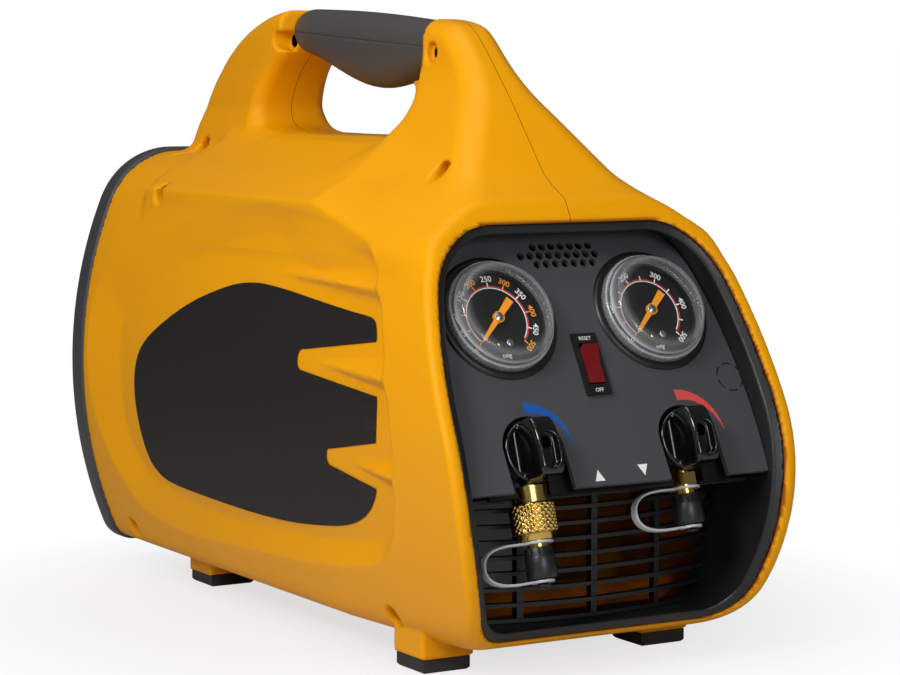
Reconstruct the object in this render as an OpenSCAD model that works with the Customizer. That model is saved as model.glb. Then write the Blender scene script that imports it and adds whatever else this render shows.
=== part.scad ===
// Portable refrigerant recovery machine: a two-part moulded case with a carrying arch, a recessed
// instrument front, two service ports, and a motor, compressor, fan and condenser inside.
// X runs across the case, -Y is the instrument front, +Z is up. Millimetres.

/* [Body] */
// Half width of the case at its widest height
body_half_w = 119; // [112:1:124]
// Height of the widest line above the floor
widest_z = 141; // [132:1:150]
// Radius of the bowed side walls
side_r = 300; // [270:5:360]
// Underside of the case above the floor
body_bottom = 17; // [14:0.5:20]
// Top of the case at the rear
rear_top = 290; // [284:1:294]
// Top of the case where the shoulders start to fall forward
shoulder_top = 283; // [278:1:288]
// Top of the case section at the front belly line
front_top = 253; // [248:1:260]
// Rear edge of the moulded case
body_rear = 244; // [236:1:250]
// Forward reach of the front belly
front_reach = 262; // [256:1:268]
// Height of the front belly line
belly_z = 96; // [90:1:104]
// Radius of the front belly
belly_r = 131; // [122:1:140]
// Radius of the sill under the front opening
sill_r = 51; // [44:1:58]
// Lean of the front rim from vertical, in degrees
rim_tilt = 26.8; // [24:0.1:29]
// Corner radius of the shoulders
shoulder_r = 55; // [48:1:60]
// Corner radius along the bottom edge at the rear
bottom_r = 17; // [13:1:22]
// Corner radius along the bottom edge at the front
bottom_front_r = 40; // [32:1:44]
// Width of the rolled lip round the front opening
rim_lip = 8; // [6:0.5:10]
// Wall thickness of the mouldings
wall = 3.6; // [2.8:0.1:4.2]
// Gap between mating mouldings
fit_gap = 0.3; // [0.2:0.05:0.4]

/* [Side field] */
// Depth of the recessed field on each side
field_depth = 8; // [6:0.5:9]
// Highest point of the recessed field
field_top = 264; // [258:1:266]
// Lowest point of the recessed field
field_bottom = 59; // [56:1:66]
// Distance of the field's front wall behind the front belly
field_setback = 74; // [70:1:80]
// Rear end of the recessed field
field_rear = 226; // [218:1:230]
// Thickness of the side panel
label_t = 0.8; // [0.5:0.1:1.2]

/* [Handle] */
// Top of the crowned roof under the grip
roof_top = 303; // [299:1:306]
// Half width of the front leg at its neck
front_neck = 18; // [16:0.5:20]
// Half width of the rear leg at its neck
rear_neck = 26; // [23:0.5:28]
// Radius of the fillet below the front neck
front_flare_r = 60; // [54:1:66]
// Height where the front leg starts to flare
front_flare_z = 358; // [352:1:362]
// Height where the rear leg starts to flare
rear_flare_z = 345; // [340:1:350]
// Front end of the rubber grip
grip_front = -56; // [-62:1:-50]
// Rear end of the rubber grip
grip_rear = 120; // [112:1:124]
// Height of the grip axis at its front end
grip_front_z = 359; // [355:1:362]
// Height of the grip axis at its rear end
grip_rear_z = 371; // [368:1:374]
// Radius of the handle core inside the grip
core_r = 11; // [9:0.5:12]
// Depth of the finger bulge below the grip axis
bulge = 31; // [26:1:34]
// Half width of the grip
grip_half_w = 18; // [16.5:0.5:20]

/* [Instrument panel] */
// Lean of the panel from vertical, in degrees
panel_tilt = 29.3; // [28:0.1:30.5]
// Distance of the panel face behind the front belly, at the gauge centres
panel_setback = 61; // [58:0.5:64]
// Height of the gauge centres
panel_z = 204; // [201:0.5:207]
// Thickness of the panel
panel_t = 3; // [2.4:0.1:3.4]
// Length of the panel below the gauge centres
panel_drop = 105; // [102:0.5:108]
// Sideways offset of gauges and valves
gauge_x = 52.5; // [50:0.5:55]
// Distance of the valve notch centres below the gauges
notch_drop = 80.4; // [79:0.2:82]
// Radius of the valve notches
notch_r = 20; // [19.2:0.1:21]
// Distance of the switch centre below the gauges
switch_drop = 32; // [29:0.5:35]

/* [Gauges] */
// Radius of the gauge cases
gauge_r = 29.5; // [28:0.1:30]
// Depth of the gauge cases behind the panel
gauge_depth = 28; // [24:1:32]
// Radius of the lens flanges
lens_r = 33.5; // [32.5:0.1:35]
// Height of the lenses above the panel
lens_h = 16; // [13:0.5:18]
// Radius of the pointer spindles
spindle_r = 1.2; // [1:0.05:1.5]
// Running clearance on every turning shaft
run_gap = 0.05; // [0.02:0.01:0.08]
// Length of the pointers from spindle to tip
needle_len = 21; // [18:0.5:23]

/* [Valves] */
// Lean of the valves from vertical, in degrees
valve_tilt = 18; // [16:0.5:20]
// Distance of the valve centres behind the front belly
valve_setback = 34; // [32:0.5:36]
// Height of the valve centres
valve_z = 129.3; // [128:0.1:131]
// Radius of the valve stem housings
valve_r = 12; // [10.5:0.5:13]
// Radius of the knob stems
stem_r = 4; // [3:0.25:5]
// Radius of the knob base discs
knob_r = 18; // [16:0.5:18.5]
// Distance of the knob front face from the valve centre
knob_reach = 31.5; // [29:0.5:32]
// Width of the knob grip bars
knob_bar_w = 15; // [13:0.5:17]
// Radius of the flare threads on the ports
flare_thread_r = 6.3; // [5.8:0.1:6.6]
// Radius of the knurled coupling
coupling_r = 13; // [12:0.25:14]
// Radius of the port caps
cap_r = 8.75; // [8.25:0.25:9.5]
// Length of the port caps
cap_len = 17.6; // [16:0.2:19]
// Thickness of the cap straps
strap_t = 1.8; // [1.4:0.1:2.2]
// Width of the cap straps
strap_w = 6; // [5:0.5:7]
// Reach of the strap loops from the port axis
strap_reach = 38; // [33:1:42]

/* [Grille] */
// Distance of the front grille behind the front belly, at its middle
grille_setback = 39; // [36:0.5:42]
// Bow radius of the front grille
grille_r = 230; // [200:5:280]
// Pitch of the grille slats
slat_pitch = 9; // [8:0.5:10]
// Height of one grille slat
slat_h = 2.2; // [1.8:0.2:3]
// Top of the front grille
grille_top = 106; // [104:0.5:107]

/* [Rear] */
// Depth of the bezel behind the case
bezel_depth = 18; // [12:1:22]
// How far the bezel stands proud of the case
bezel_proud = 2; // [1:0.5:3]
// Pitch of the rear louvres
louvre_pitch = 11; // [9:0.5:13]

/* [Feet] */
// Side of the square rubber feet
foot_side = 31; // [28:0.5:33]
// Height of the rubber feet
foot_h = 8; // [6:0.5:9]
// Sideways place of the front feet
foot_front_x = 75.5; // [72:0.5:78]
// Sideways place of the rear feet
foot_rear_x = 64; // [58:0.5:68]
// Y of the front feet
foot_front_y = -168; // [-172:1:-164]
// Y of the rear feet
foot_rear_y = 136; // [130:1:140]

/* [Drive] */
// Height of the motor shaft
shaft_z = 112; // [109:1:115]
// Radius of the motor shaft
shaft_r = 7; // [6:0.25:8]
// Radius of the motor housing
motor_r = 56; // [50:1:58]
// Front face of the motor
motor_front = -10; // [-14:1:-6]
// Rear face of the motor
motor_rear = 105; // [100:1:110]
// Radius of the fan blades
fan_r = 74; // [68:1:75]
// Number of fan blades
fan_blades = 7; // [5:1:9]
// Y of the fan hub
fan_y = 136; // [132:1:140]
// Top face of the chassis plate
chassis_top = 32; // [31:0.5:34]
// Thickness of the chassis plate
chassis_t = 2; // [1.5:0.1:2.6]

/* [Hidden] */
$fn = 48;
eps = 0.01;
big = 400;
seam = 0.1;

// Colours of the real pieces
yellow = "#e8a000";
charcoal = "#3e3e42";
dark = "#222224";
rubber = "#1b1b1c";
brass = "#c8a04a";
copper = "#b87048";
metal = "#b8babd";

// Slices of the case form: rear, start of the falling shoulders, and front
form_rear_y = body_rear + 20;
form_shoulder_y = -90;
form_front_y = -front_reach - 8;
front_half_w = body_half_w - 2;
inner_floor = body_bottom + wall;
field_front = field_setback - front_reach;
panel_y = panel_setback - front_reach;
valve_y = valve_setback - front_reach;
grille_y = grille_setback - front_reach;
bezel_rear = body_rear + bezel_depth;
leg_root_z = shoulder_top - 53;
bezel_t = 6;
lip_depth = 8;
front_inset = rim_lip + 2 * fit_gap + bezel_t;
bezel_back = field_front - wall - 2;
bezel_ledge = 8;
rear_panel_t = 4;
rear_panel_y = body_rear + bezel_ledge;
inlet_place = [52, 52];
socket_w = 27;
socket_h = 19.5;
blade_places = [[-7, -2.5], [0, 2.5], [7, -2.5]];
shelf_t = 2.4;
isolator_places = [for (x = [-55, 55], y = [-130, 108]) [x, y]];
cylinder_y = -54;

// Side view of the front: sill arc, belly arc, then the leaning rim
belly_c = [-front_reach + belly_r, belly_z];
sill_a = 180 + asin((belly_z - body_bottom - sill_r) / (belly_r - sill_r));
sill_c = belly_c + (belly_r - sill_r) * [cos(sill_a), sin(sill_a)];
rim_start = belly_c + belly_r * [cos(180 - rim_tilt), sin(180 - rim_tilt)];
rim_run = 180;
rim_end = rim_start + rim_run * [sin(rim_tilt), cos(rim_tilt)];

// Centre of the bowed side, and of the quarter ellipse behind the rear leg
side_cx = body_half_w - side_r;
rear_arch_c = [body_rear - 140, rear_top - 1];
rear_arch = [142, 97];

// Loop of the side field: shares of its length and height, and the width of the slope at its edge
field_loop = [
    [0.99, 0.717, 42], [0.884, 0.8, 39], [0.773, 0.868, 34], [0.585, 0.951, 26], [0.348, 1, 19],
    [0.191, 0.98, 14], [0.104, 0.951, 10], [0.048, 0.917, 7], [0.017, 0.844, 6], [0.005, 0.707, 5],
    [0, 0.493, 5], [0, 0.22, 10], [0.01, 0.112, 14], [0.075, 0.034, 15], [0.256, 0, 15],
    [0.594, 0, 10], [0.901, 0.049, 5], [0.976, 0.249, 30], [1, 0.493, 42]
];
step_count = 4;
field_points = [for (f = field_loop)
    [field_front + f[0] * (field_rear - field_front), field_bottom + f[1] * (field_top - field_bottom)]];

// Screws that join the two halves: Y and Z of each
screw_r = 2;
screw_head_r = 4.4;
screw_head_h = 3;
counterbore_r = 6.5;
boss_r = 9.5;
screw_seat = 10;
screw_places = [
    [grip_rear + 4, grip_rear_z - 6], [grip_front - 11, grip_front_z - 4], [218, 292],
    [160, 262], [-139, 285], [207, 30], [-158, 30]
];

// Ports along the valve axis, measured down from the valve centre
stub_r = 4.8;
bracket_half_w = 82;
collar_r = 10.5;
collar_top = 18.8;
collar_end = 27.8;
inlet_neck_end = 49;
inlet_cap_top = 52.8;
outlet_neck_end = 28.3;
outlet_cap_top = 30.8;
thread_len = 12;
eyelet_gap = 0.3;
button_r = 3;
button_h = 3.2;

// Condenser tubes and refrigerant lines
tube_r = 4;
tube_pitch = 24;
tube_end = 72;
tube_y = 184;
tube_rows = [for (z = [52 : tube_pitch : 184]) z];
fin_count = 20;
fin_pitch = 7;
core_y = 166 + fit_gap;
core_depth = 36;
core_bottom = 44;
core_top = 196;
block_h = 50;
barrel_h = 42;
head_plate_t = 14;
head_top = shaft_z + block_h + barrel_h + head_plate_t;
line_r = 3.2;

lens_inner_r = gauge_r - 1.1;
dial_r = gauge_r - 1.7;
zero_angle = 225;
pointer_tail = 15;
switch_w = 16.5;
switch_h = 38;
rocker_w = 10.4;
rocker_h = 23;
rocker_tilt = 9;
rocker_pin_r = 1.5;

// Points of a round stretch from angle a0 to a1
function arc(c, r, a0, a1, n, first = 0) =
    [for (i = [first : n]) c + r * [cos(a0 + (a1 - a0) * i / n), sin(a0 + (a1 - a0) * i / n)]];

// A right-hand half outline closed by its mirror image
function both_sides(half) =
    concat(half, [for (i = [len(half) - 1 : -1 : 0]) if (half[i][0] > eps) [-half[i][0], half[i][1]]]);

// Half section of the case: bottom corner, bowed side, shoulder, all tangent
function section_half(hw, top, low_r, inset) =
    let (
        sx = hw - side_r,
        tz = top - shoulder_r,
        tx = sx + sqrt(pow(side_r - shoulder_r, 2) - pow(tz - widest_z, 2)),
        bz = body_bottom + low_r,
        bx = sx + sqrt(pow(side_r - low_r, 2) - pow(bz - widest_z, 2)),
        up = atan2(tz - widest_z, tx - sx),
        down = atan2(bz - widest_z, bx - sx)
    )
    concat(
        [[0, body_bottom + inset]],
        arc([bx, bz], low_r - inset, -90, down, 5),
        arc([sx, widest_z], side_r - inset, down, up, 9, 1),
        arc([tx, tz], shoulder_r - inset, up, 90, 6, 1),
        [[0, top - inset]]
    );

// Extrudes an XZ outline along Y
module along_y(y0, y1) translate([0, y1, 0]) rotate([90, 0, 0]) linear_extrude(y1 - y0) children();

// Extrudes a YZ outline along X
module along_x(x0, x1) translate([x0, 0, 0]) rotate([90, 0, 90]) linear_extrude(x1 - x0) children();

// A thin slice of the case section
module slice(y, hw, top, low_r, inset)
    along_y(y, y + eps) polygon(both_sides(section_half(hw, top, low_r, inset)));

// The case form, drawn in by an inset
module body_form(inset) hull() {
    slice(form_rear_y, body_half_w, rear_top, bottom_r, inset);
    slice(form_shoulder_y, body_half_w, shoulder_top, bottom_r, inset);
    slice(form_front_y, front_half_w, front_top, bottom_front_r, inset);
}

// Side outline of the case, with the front set back by an amount
module side_outline(back = 0) polygon(concat(
    [[body_rear, body_bottom]],
    arc(sill_c + [back, 0], sill_r, 270, sill_a, 6),
    arc(belly_c + [back, 0], belly_r, sill_a, 180 - rim_tilt, 7, 1),
    [rim_end + [back, 0], [body_rear, rim_end[1]]]
));

// Front view of the front leg: neck, flare fillet and a slope into the case
module front_leg_outline() {
    c = [front_neck + front_flare_r, front_flare_z];
    flare_end = 213;
    foot = c + front_flare_r * [cos(flare_end), sin(flare_end)];
    slope_end = foot + 88 * [-sin(flare_end), cos(flare_end)];
    polygon(both_sides(concat(
        [[0, leg_root_z], [slope_end[0] - 8, leg_root_z], slope_end],
        arc(c, front_flare_r, flare_end, 180, 8),
        [[front_neck, grip_rear_z + 4], [front_neck - 7, grip_rear_z + 20], [0, grip_rear_z + 24]]
    )));
}

// Front view of the rear leg: nearly upright flanks that spread below the roof
module rear_leg_outline() polygon(both_sides([
    [0, leg_root_z], [rear_neck + 34, leg_root_z], [rear_neck + 8, rear_flare_z - 45],
    [rear_neck + 2, rear_flare_z - 25], [rear_neck, rear_flare_z], [rear_neck, grip_rear_z + 4],
    [rear_neck - 7, grip_rear_z + 20], [0, grip_rear_z + 24]
]));

// Crowned roof between the legs, drawn in by an inset
module roof_form(inset) intersection() {
    along_y(-big, big) offset(delta = -inset) polygon(both_sides([
        [0, leg_root_z], [100, leg_root_z], [98, roof_top - 37], [36, roof_top - 3],
        [24, roof_top], [0, roof_top]
    ]));
    along_x(-big, big) offset(delta = -inset) polygon([
        [-70, leg_root_z], [-70, roof_top - 16], [-65, roof_top - 5], [-54, roof_top],
        [178, roof_top], [189, roof_top - 5], [194, roof_top - 16], [194, leg_root_z]
    ]);
}

// Side view of the front leg, from the hood up to the grip
module front_leg_side() polygon([
    [rim_end[0] - 34, shoulder_top - 40], [-200, 258], [-171, 279], [-164, 284.5], [-153, 300],
    [-132, 325], [-92, 367], [-80, 374], [grip_front, grip_front_z + 16],
    [grip_front, grip_front_z - 15], [-53, 330], [-51, 300], [-46, 288], [-34, 280], [-30, shoulder_top - 40]
]);

// Side view of the rear leg: quarter ellipse outside, rounded gap inside
module rear_leg_side() polygon(concat(
    [[grip_rear, grip_rear_z - 16], [grip_rear, grip_rear_z + 15]],
    [for (a = [80 : -10 : 10]) rear_arch_c + [rear_arch[0] * cos(a), rear_arch[1] * sin(a)]],
    [[body_rear, rear_arch_c[1] + 11], [body_rear, rear_top - 40], [92, rear_top - 40], [100, roof_top - 6],
     [118, roof_top - 5], [136, roof_top - 1], [149, roof_top + 5], [155, roof_top + 15],
     [151, roof_top + 27], [141, roof_top + 40], [129, roof_top + 49]]
));

// Handle core that both halves share inside the rubber grip
module handle_core(r) {
    rise = grip_rear_z - grip_front_z;
    run = grip_rear - grip_front + 8;
    translate([0, grip_front - 4, grip_front_z - rise * 4 / run])
        rotate([-90 + atan2(rise, run), 0, 0]) cylinder(r = r, h = sqrt(rise * rise + run * run), $fn = 32);
}

// Arched outline of the recessed side field, grown by an amount
module field_outline(grow) offset(delta = grow) polygon(field_points);

// Points of the field's outline, moved down its slope by a share of its width
function field_step(share) =
    let (n = len(field_points))
    [for (i = [0 : n - 1])
        let (d = field_points[(i + 1) % n] - field_points[(i + n - 1) % n])
        field_points[i] + share * field_loop[i][2] * [-d[1], d[0]] / norm(d)];

// Half width of the bowed side at a height, drawn in by an inset
function side_x(z, inset) = side_cx + sqrt(pow(side_r - inset, 2) - pow(z - widest_z, 2));

// Space round both side fields: the outline grown by an amount, down to an inset of the case form
module field_cut(grow, inset) for (sx = [-1, 1]) difference() {
    along_x(min(0, sx * big), max(0, sx * big)) field_outline(grow);
    body_form(inset);
}

// Edge of the film on the field floor, without its two notches
module label_edge() polygon([
    [-8, 213], [-90, 211], [-163, 204], [-168, 199], [-168, 106], [-165, 95], [-143, 84],
    [-112, 78], [20, 71], [135, 72], [153, 79], [170, 122], [171, 147], [157, 163],
    [102, 188], [42, 207]
]);

// Both side fields as cutters: fine steps down the slope from the outline to the floor
module field_steps() for (sx = [-1, 1], k = [1 : step_count]) difference() {
    along_x(min(0, sx * big), max(0, sx * big)) polygon(field_step((k - 0.5) / step_count));
    body_form(field_depth * k / step_count);
}

// One tapered claw rib on the field floor, from its root heights to its tip
module claw(side, z0, z1, tip_y, tip_z) {
    root_y = field_front - 1;
    ridge_z = 0.55 * z0 + 0.45 * z1;
    hull() {
        for (z = [z0, z1])
            translate([side * (side_x(z, field_depth) - 2), root_y, z]) cube([1, 2, 1], center = true);
        translate([side * (side_x(ridge_z, 0) - 4), root_y, ridge_z]) cube([1, 2, 1], center = true);
        translate([side * (side_x(tip_z, field_depth) - 0.6), tip_y, tip_z]) cube([1, 1, 1], center = true);
    }
}

// Outside of both halves together, without the side fields
module case_outside() {
    intersection() {
        body_form(0);
        along_x(-big, big) side_outline();
    }
    intersection() {
        along_x(-big, big) front_leg_side();
        along_y(-big, grip_front) front_leg_outline();
    }
    intersection() {
        along_x(-big, big) rear_leg_side();
        along_y(grip_rear, body_rear) rear_leg_outline();
    }
    roof_form(0);
    handle_core(core_r);
    for (sx = [-1, 1], f = [[foot_front_x, foot_front_y], [foot_rear_x, foot_rear_y]])
        translate([sx * f[0], f[1], (foot_h + body_bottom + wall) / 2])
            cube([foot_side + 3, foot_side + 3, body_bottom + wall - foot_h], center = true);
}

// The hollow inside the case and its legs
module case_inside() {
    difference() {
        body_form(wall);
        field_cut(wall, wall + field_depth);
    }
    difference() {
        roof_form(wall);
        field_cut(wall, wall + field_depth);
    }
    intersection() {
        along_x(-big, big) offset(delta = -wall) front_leg_side();
        along_y(-big, grip_front) offset(delta = -wall) front_leg_outline();
    }
    intersection() {
        along_x(-big, big) offset(delta = -wall) rear_leg_side();
        along_y(grip_rear, body_rear + eps) offset(delta = -wall) rear_leg_outline();
    }
}

// The two halves as one hollow moulding, with fields, ribs and screw bosses
module case_form() {
    difference() {
        union() {
            difference() {
                case_outside();
                case_inside();
                field_steps();
            }
            intersection() {
                case_outside();
                for (p = screw_places)
                    translate([0, p[0], p[1]]) rotate([0, 90, 0])
                        cylinder(r = boss_r, h = 2 * body_half_w, center = true, $fn = 20);
            }
            intersection() {
                difference() {
                    body_form(0);
                    body_form(rim_lip);
                }
                along_x(-big, big) difference() {
                    side_outline();
                    side_outline(lip_depth);
                }
            }
            for (sx = [-1, 1]) {
                claw(sx, 212, 226, -40, 223);
                claw(sx, 169, 184, -72, 171);
                claw(sx, 113, 126, -109, 117);
            }
        }
        for (p = screw_places) translate([0, p[0], p[1]]) rotate([0, 90, 0]) {
            cylinder(r = screw_r + run_gap, h = 2 * screw_seat, center = true, $fn = 16);
            translate([0, 0, -big]) cylinder(r = counterbore_r, h = big - screw_seat, $fn = 20);
        }
        for (sx = [-1, 1], i = [0 : 5])
            translate([sx * (body_half_w - 5), field_front - 3, 93 + 8 * i]) cube([4, 20, 5], center = true);
    }
}

module left_shell() color(yellow) intersection() {
    case_form();
    translate([-big - seam / 2, 0, 0]) cube([2 * big, 2 * big, 2 * big], center = true);
}

module right_shell() color(yellow) intersection() {
    case_form();
    translate([big + seam / 2, 0, 0]) cube([2 * big, 2 * big, 2 * big], center = true);
}

// A solid through matching rings of points
module loft(rings) {
    n = len(rings[0]);
    m = len(rings);
    polyhedron(
        points = [for (r = rings) for (p = r) p],
        faces = concat(
            [[for (j = [0 : n - 1]) j]],
            [[for (j = [n - 1 : -1 : 0]) (m - 1) * n + j]],
            [for (i = [0 : m - 2]) for (j = [0 : n - 1])
                [i * n + j, (i + 1) * n + j, (i + 1) * n + (j + 1) % n, i * n + (j + 1) % n]]
        )
    );
}

// One half of the rubber grip: half ellipses hulled along the core, swelling at the fingers
module grip_half(a0, end_reach, mid_reach) difference() {
    stations = 8;
    steps = 14;
    edge = 0.6;
    hull() for (i = [0 : stations]) {
        t = i / stations;
        y = grip_front + fit_gap + t * (grip_rear - grip_front - 2 * fit_gap);
        zc = grip_front_z + t * (grip_rear_z - grip_front_z);
        w = grip_half_w - 1.5 + 1.5 * sin(180 * t);
        h = end_reach + (mid_reach - end_reach) * pow(sin(180 * t), 1.3);
        along_y(y - eps, y) polygon([for (j = [0 : steps])
            let (a = a0 + edge + (180 - 2 * edge) * j / steps) [w * cos(a), zc + h * sin(a)]]);
    }
    handle_core(core_r + fit_gap);
}

module grip_upper() color(rubber) grip_half(0, 15, 17);

module grip_lower() color(rubber) grip_half(180, 15, bulge);

// Section of the case at its rear end, drawn in by an inset
module rear_section(inset) polygon(both_sides(section_half(body_half_w, rear_top, bottom_r, inset)));

// Dark ring that closes the rear of the case
module rear_bezel() color(dark) difference() {
    along_y(body_rear + fit_gap, bezel_rear) rear_section(-bezel_proud);
    along_y(0, big) rear_section(wall + bezel_ledge);
    along_y(0, body_rear + wall) rear_section(wall);
}

// Louvred rear panel with the cut-out for the power inlet
module rear_panel() color(dark) difference() {
    along_y(rear_panel_y - rear_panel_t / 2, rear_panel_y + rear_panel_t / 2)
        rear_section(wall + bezel_ledge + fit_gap);
    for (i = [0 : floor(140 / louvre_pitch)], sx = [-1, 1])
        translate([sx * 38, rear_panel_y, 96 + i * louvre_pitch])
            cube([64, 5 * rear_panel_t, louvre_pitch / 2], center = true);
    translate([inlet_place[0], rear_panel_y, inlet_place[1]])
        cube([socket_w + fit_gap, 5 * rear_panel_t, socket_h + fit_gap], center = true);
}

// C14 power inlet: flange, socket well and three blades
module power_inlet() color(dark)
    translate([inlet_place[0], rear_panel_y + rear_panel_t / 2 + fit_gap, inlet_place[1]]) {
        difference() {
            union() {
                translate([0, 1.5, 0]) cube([socket_w + 19, 3, socket_h + 4.5], center = true);
                translate([0, -11, 0]) cube([socket_w, 22 + eps, socket_h], center = true);
            }
            translate([0, -8, 0]) cube([socket_w - 3, 24, socket_h - 3], center = true);
        }
        for (p = blade_places) translate([p[0], -14, p[1]]) cube([2, 14, 4], center = true);
        translate([0, -21, 0]) cube([socket_w - 3 + eps, 2, socket_h - 3 + eps], center = true);
    }

// Black ring inside the front rim
module front_bezel() color(dark) intersection() {
    difference() {
        body_form(rim_lip + fit_gap);
        body_form(rim_lip + fit_gap + bezel_t);
    }
    along_x(-big, big) difference() {
        side_outline(1.6);
        polygon([
            [bezel_back, 0], [bezel_back, panel_z], [bezel_back + 10, panel_z + 46],
            [bezel_back + 34, rear_top], [big, rear_top], [big, 0]
        ]);
    }
}

// Places children on the instrument panel: x across, y up the panel, z out of it
module on_panel(x = 0, y = 0, z = 0)
    translate([0, panel_y, panel_z]) rotate([90 - panel_tilt, 0, 0]) translate([x, y, z]) children();

// Places children on a valve: x across, y up the port axis, z along the knob axis
module on_valve(side) translate([side * gauge_x, valve_y, valve_z]) rotate([90 - valve_tilt, 0, 0]) children();

// Arch-topped notch, open at the lower edge of the panel
module notch(side, r) {
    translate([side * gauge_x, -notch_drop, -20]) cylinder(r = r, h = 40);
    translate([side * gauge_x - r, -notch_drop - 60, -20]) cube([2 * r, 60, 40]);
}

// Honeycomb of vent holes at the top of the panel
module vent_holes() {
    pitch = 6.4;
    for (row = [-1 : 1], i = [-4 : 4]) if (abs(i) + abs(row) / 2 <= 4)
        translate([(i + (row % 2 == 0 ? 0 : 0.5)) * pitch, 38 + row * pitch * 0.866, -10])
            rotate(30) cylinder(r = 2.7, h = 20, $fn = 6);
}

module instrument_panel() color(charcoal) difference() {
    intersection() {
        body_form(front_inset);
        on_panel(0, -panel_drop, -panel_t) translate([-big / 2, 0, 0]) cube([big, 190, panel_t]);
    }
    field_cut(wall + fit_gap, wall + field_depth + fit_gap);
    on_panel() {
        for (s = [-1, 1]) {
            translate([s * gauge_x, 0, -20]) cylinder(r = gauge_r + fit_gap, h = 40);
            notch(s, notch_r);
        }
        translate([0, -switch_drop, 0]) cube([switch_w - 3, switch_h - 4, 40], center = true);
        vent_holes();
    }
}

// Bowed slatted grille with three uprights and a shelf under the panel
module front_grille() color(dark) intersection() {
    body_form(front_inset);
    difference() {
        union() {
            for (i = [0 : floor((grille_top - inner_floor) / slat_pitch)])
                translate([0, grille_y + grille_r, grille_top - slat_h - i * slat_pitch]) grille_band(slat_h);
            for (x = [-47, 0, 47]) intersection() {
                translate([0, grille_y + grille_r + 1, inner_floor]) grille_band(grille_top - inner_floor);
                translate([x - 2, -big, 0]) cube([4, big, grille_top]);
            }
            translate([-big / 2, grille_y - 9, grille_top - shelf_t]) cube([big, 23, shelf_t]);
        }
        for (s = [-1, 1]) on_valve(s) rotate([90, 0, 0]) cylinder(r = coupling_r + 2, h = 80);
    }
}

// One curved slat, seen from above as a ring segment
module grille_band(h) difference() {
    cylinder(r = grille_r, h = h, $fn = 96);
    translate([0, 0, -1]) cylinder(r = grille_r - 5, h = h + 2, $fn = 96);
    translate([-big, -110, -1]) cube([2 * big, big * 2, h + 2]);
}

// Dark side panel in the left field, notched round two claw ribs
module side_label() {
    floor_inset = field_depth - label_t;
    color(dark) intersection() {
        difference() {
            body_form(floor_inset - 0.05);
            body_form(field_depth - 0.05 + eps);
        }
        translate([-big, 0, 0]) cube([2 * big - 120, 2 * big, 2 * big], center = true);
        along_x(-big, 0) difference() {
            label_edge();
            polygon([[-180, 190], [-82, 180], [-71, 171], [-79, 165], [-180, 159]]);
            polygon([[-180, 134], [-117, 124], [-107, 117], [-117, 112], [-180, 105]]);
        }
    }
}

// Gauge case: a cup with a ledge for the dial and a stem at the back
module gauge_case(side) color(rubber) on_panel(side * gauge_x) {
    rotate_extrude() polygon([
        [0, -gauge_depth], [gauge_r, -gauge_depth], [gauge_r, 1.4], [lens_inner_r - 0.2, 1.4],
        [lens_inner_r - 0.2, -2.2], [gauge_r - 3.5, -2.2], [gauge_r - 3.5, 3 - gauge_depth],
        [0, 3 - gauge_depth]
    ]);
    translate([0, 0, -gauge_depth - 10]) cylinder(r = 6, h = 10);
}

module inlet_gauge_case() gauge_case(-1);

module outlet_gauge_case() gauge_case(1);

// Dial plate with the bore that carries the pointer spindle
module dial(side) color(rubber) on_panel(side * gauge_x, 0, -2.1) difference() {
    cylinder(r = dial_r, h = 1.2);
    translate([0, 0, -1]) cylinder(r = spindle_r + run_gap, h = 4);
}

module inlet_dial() dial(-1);

module outlet_dial() dial(1);

// Stepped clear lens with a thick flange against the panel
module lens(side) color("#d8e0e4", 0.35) on_panel(side * gauge_x) rotate_extrude() polygon([
    [gauge_r + fit_gap, fit_gap], [lens_r, fit_gap], [lens_r, 5], [lens_r - 1.5, 6.4], [lens_r - 2.6, 7],
    [lens_r - 3.4, lens_h - 4.5], [lens_r - 6, lens_h - 1.6], [lens_r - 10, lens_h - 0.5], [0, lens_h],
    [0, lens_h - 2], [lens_inner_r - 4, lens_h - 2.6], [lens_inner_r - 1, lens_h - 5], [lens_inner_r, 1.8],
    [gauge_r + fit_gap, 1.8]
]);

module inlet_lens() lens(-1);

module outlet_lens() lens(1);

// Needle with a broad tail, hub and spindle, resting at the zero mark
module pointer(side) color("#f0a020") on_panel(side * gauge_x) {
    translate([0, 0, -6]) cylinder(r = spindle_r, h = 8.4);
    translate([0, 0, 0.2]) cylinder(r = 3.4, h = 2.2);
    rotate(zero_angle) translate([0, 0, 0.8]) linear_extrude(0.9)
        polygon([
            [-pointer_tail, -2.4], [-pointer_tail, 2.4], [0, 1.7], [needle_len - 3, 1],
            [needle_len, 0], [needle_len - 3, -1], [0, -1.7]
        ]);
}

module inlet_pointer() pointer(-1);

module outlet_pointer() pointer(1);

// Switch body: frame on the panel, well for the rocker and two pivot bores
module switch_body() color(rubber) on_panel(0, -switch_drop) difference() {
    union() {
        translate([-switch_w / 2, -switch_h / 2, fit_gap]) cube([switch_w, switch_h, 2]);
        translate([-switch_w / 2 + 1.8, -switch_h / 2 + 2.3, -22])
            cube([switch_w - 3.6, switch_h - 4.6, 22 + fit_gap + eps]);
    }
    translate([-rocker_w / 2 - fit_gap, -rocker_h / 2 - 1.2, -10])
        cube([rocker_w + 2 * fit_gap, rocker_h + 2.4, 30]);
    rotate([0, 90, 0]) cylinder(r = rocker_pin_r + run_gap, h = rocker_w + 3, center = true, $fn = 32);
}

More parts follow.
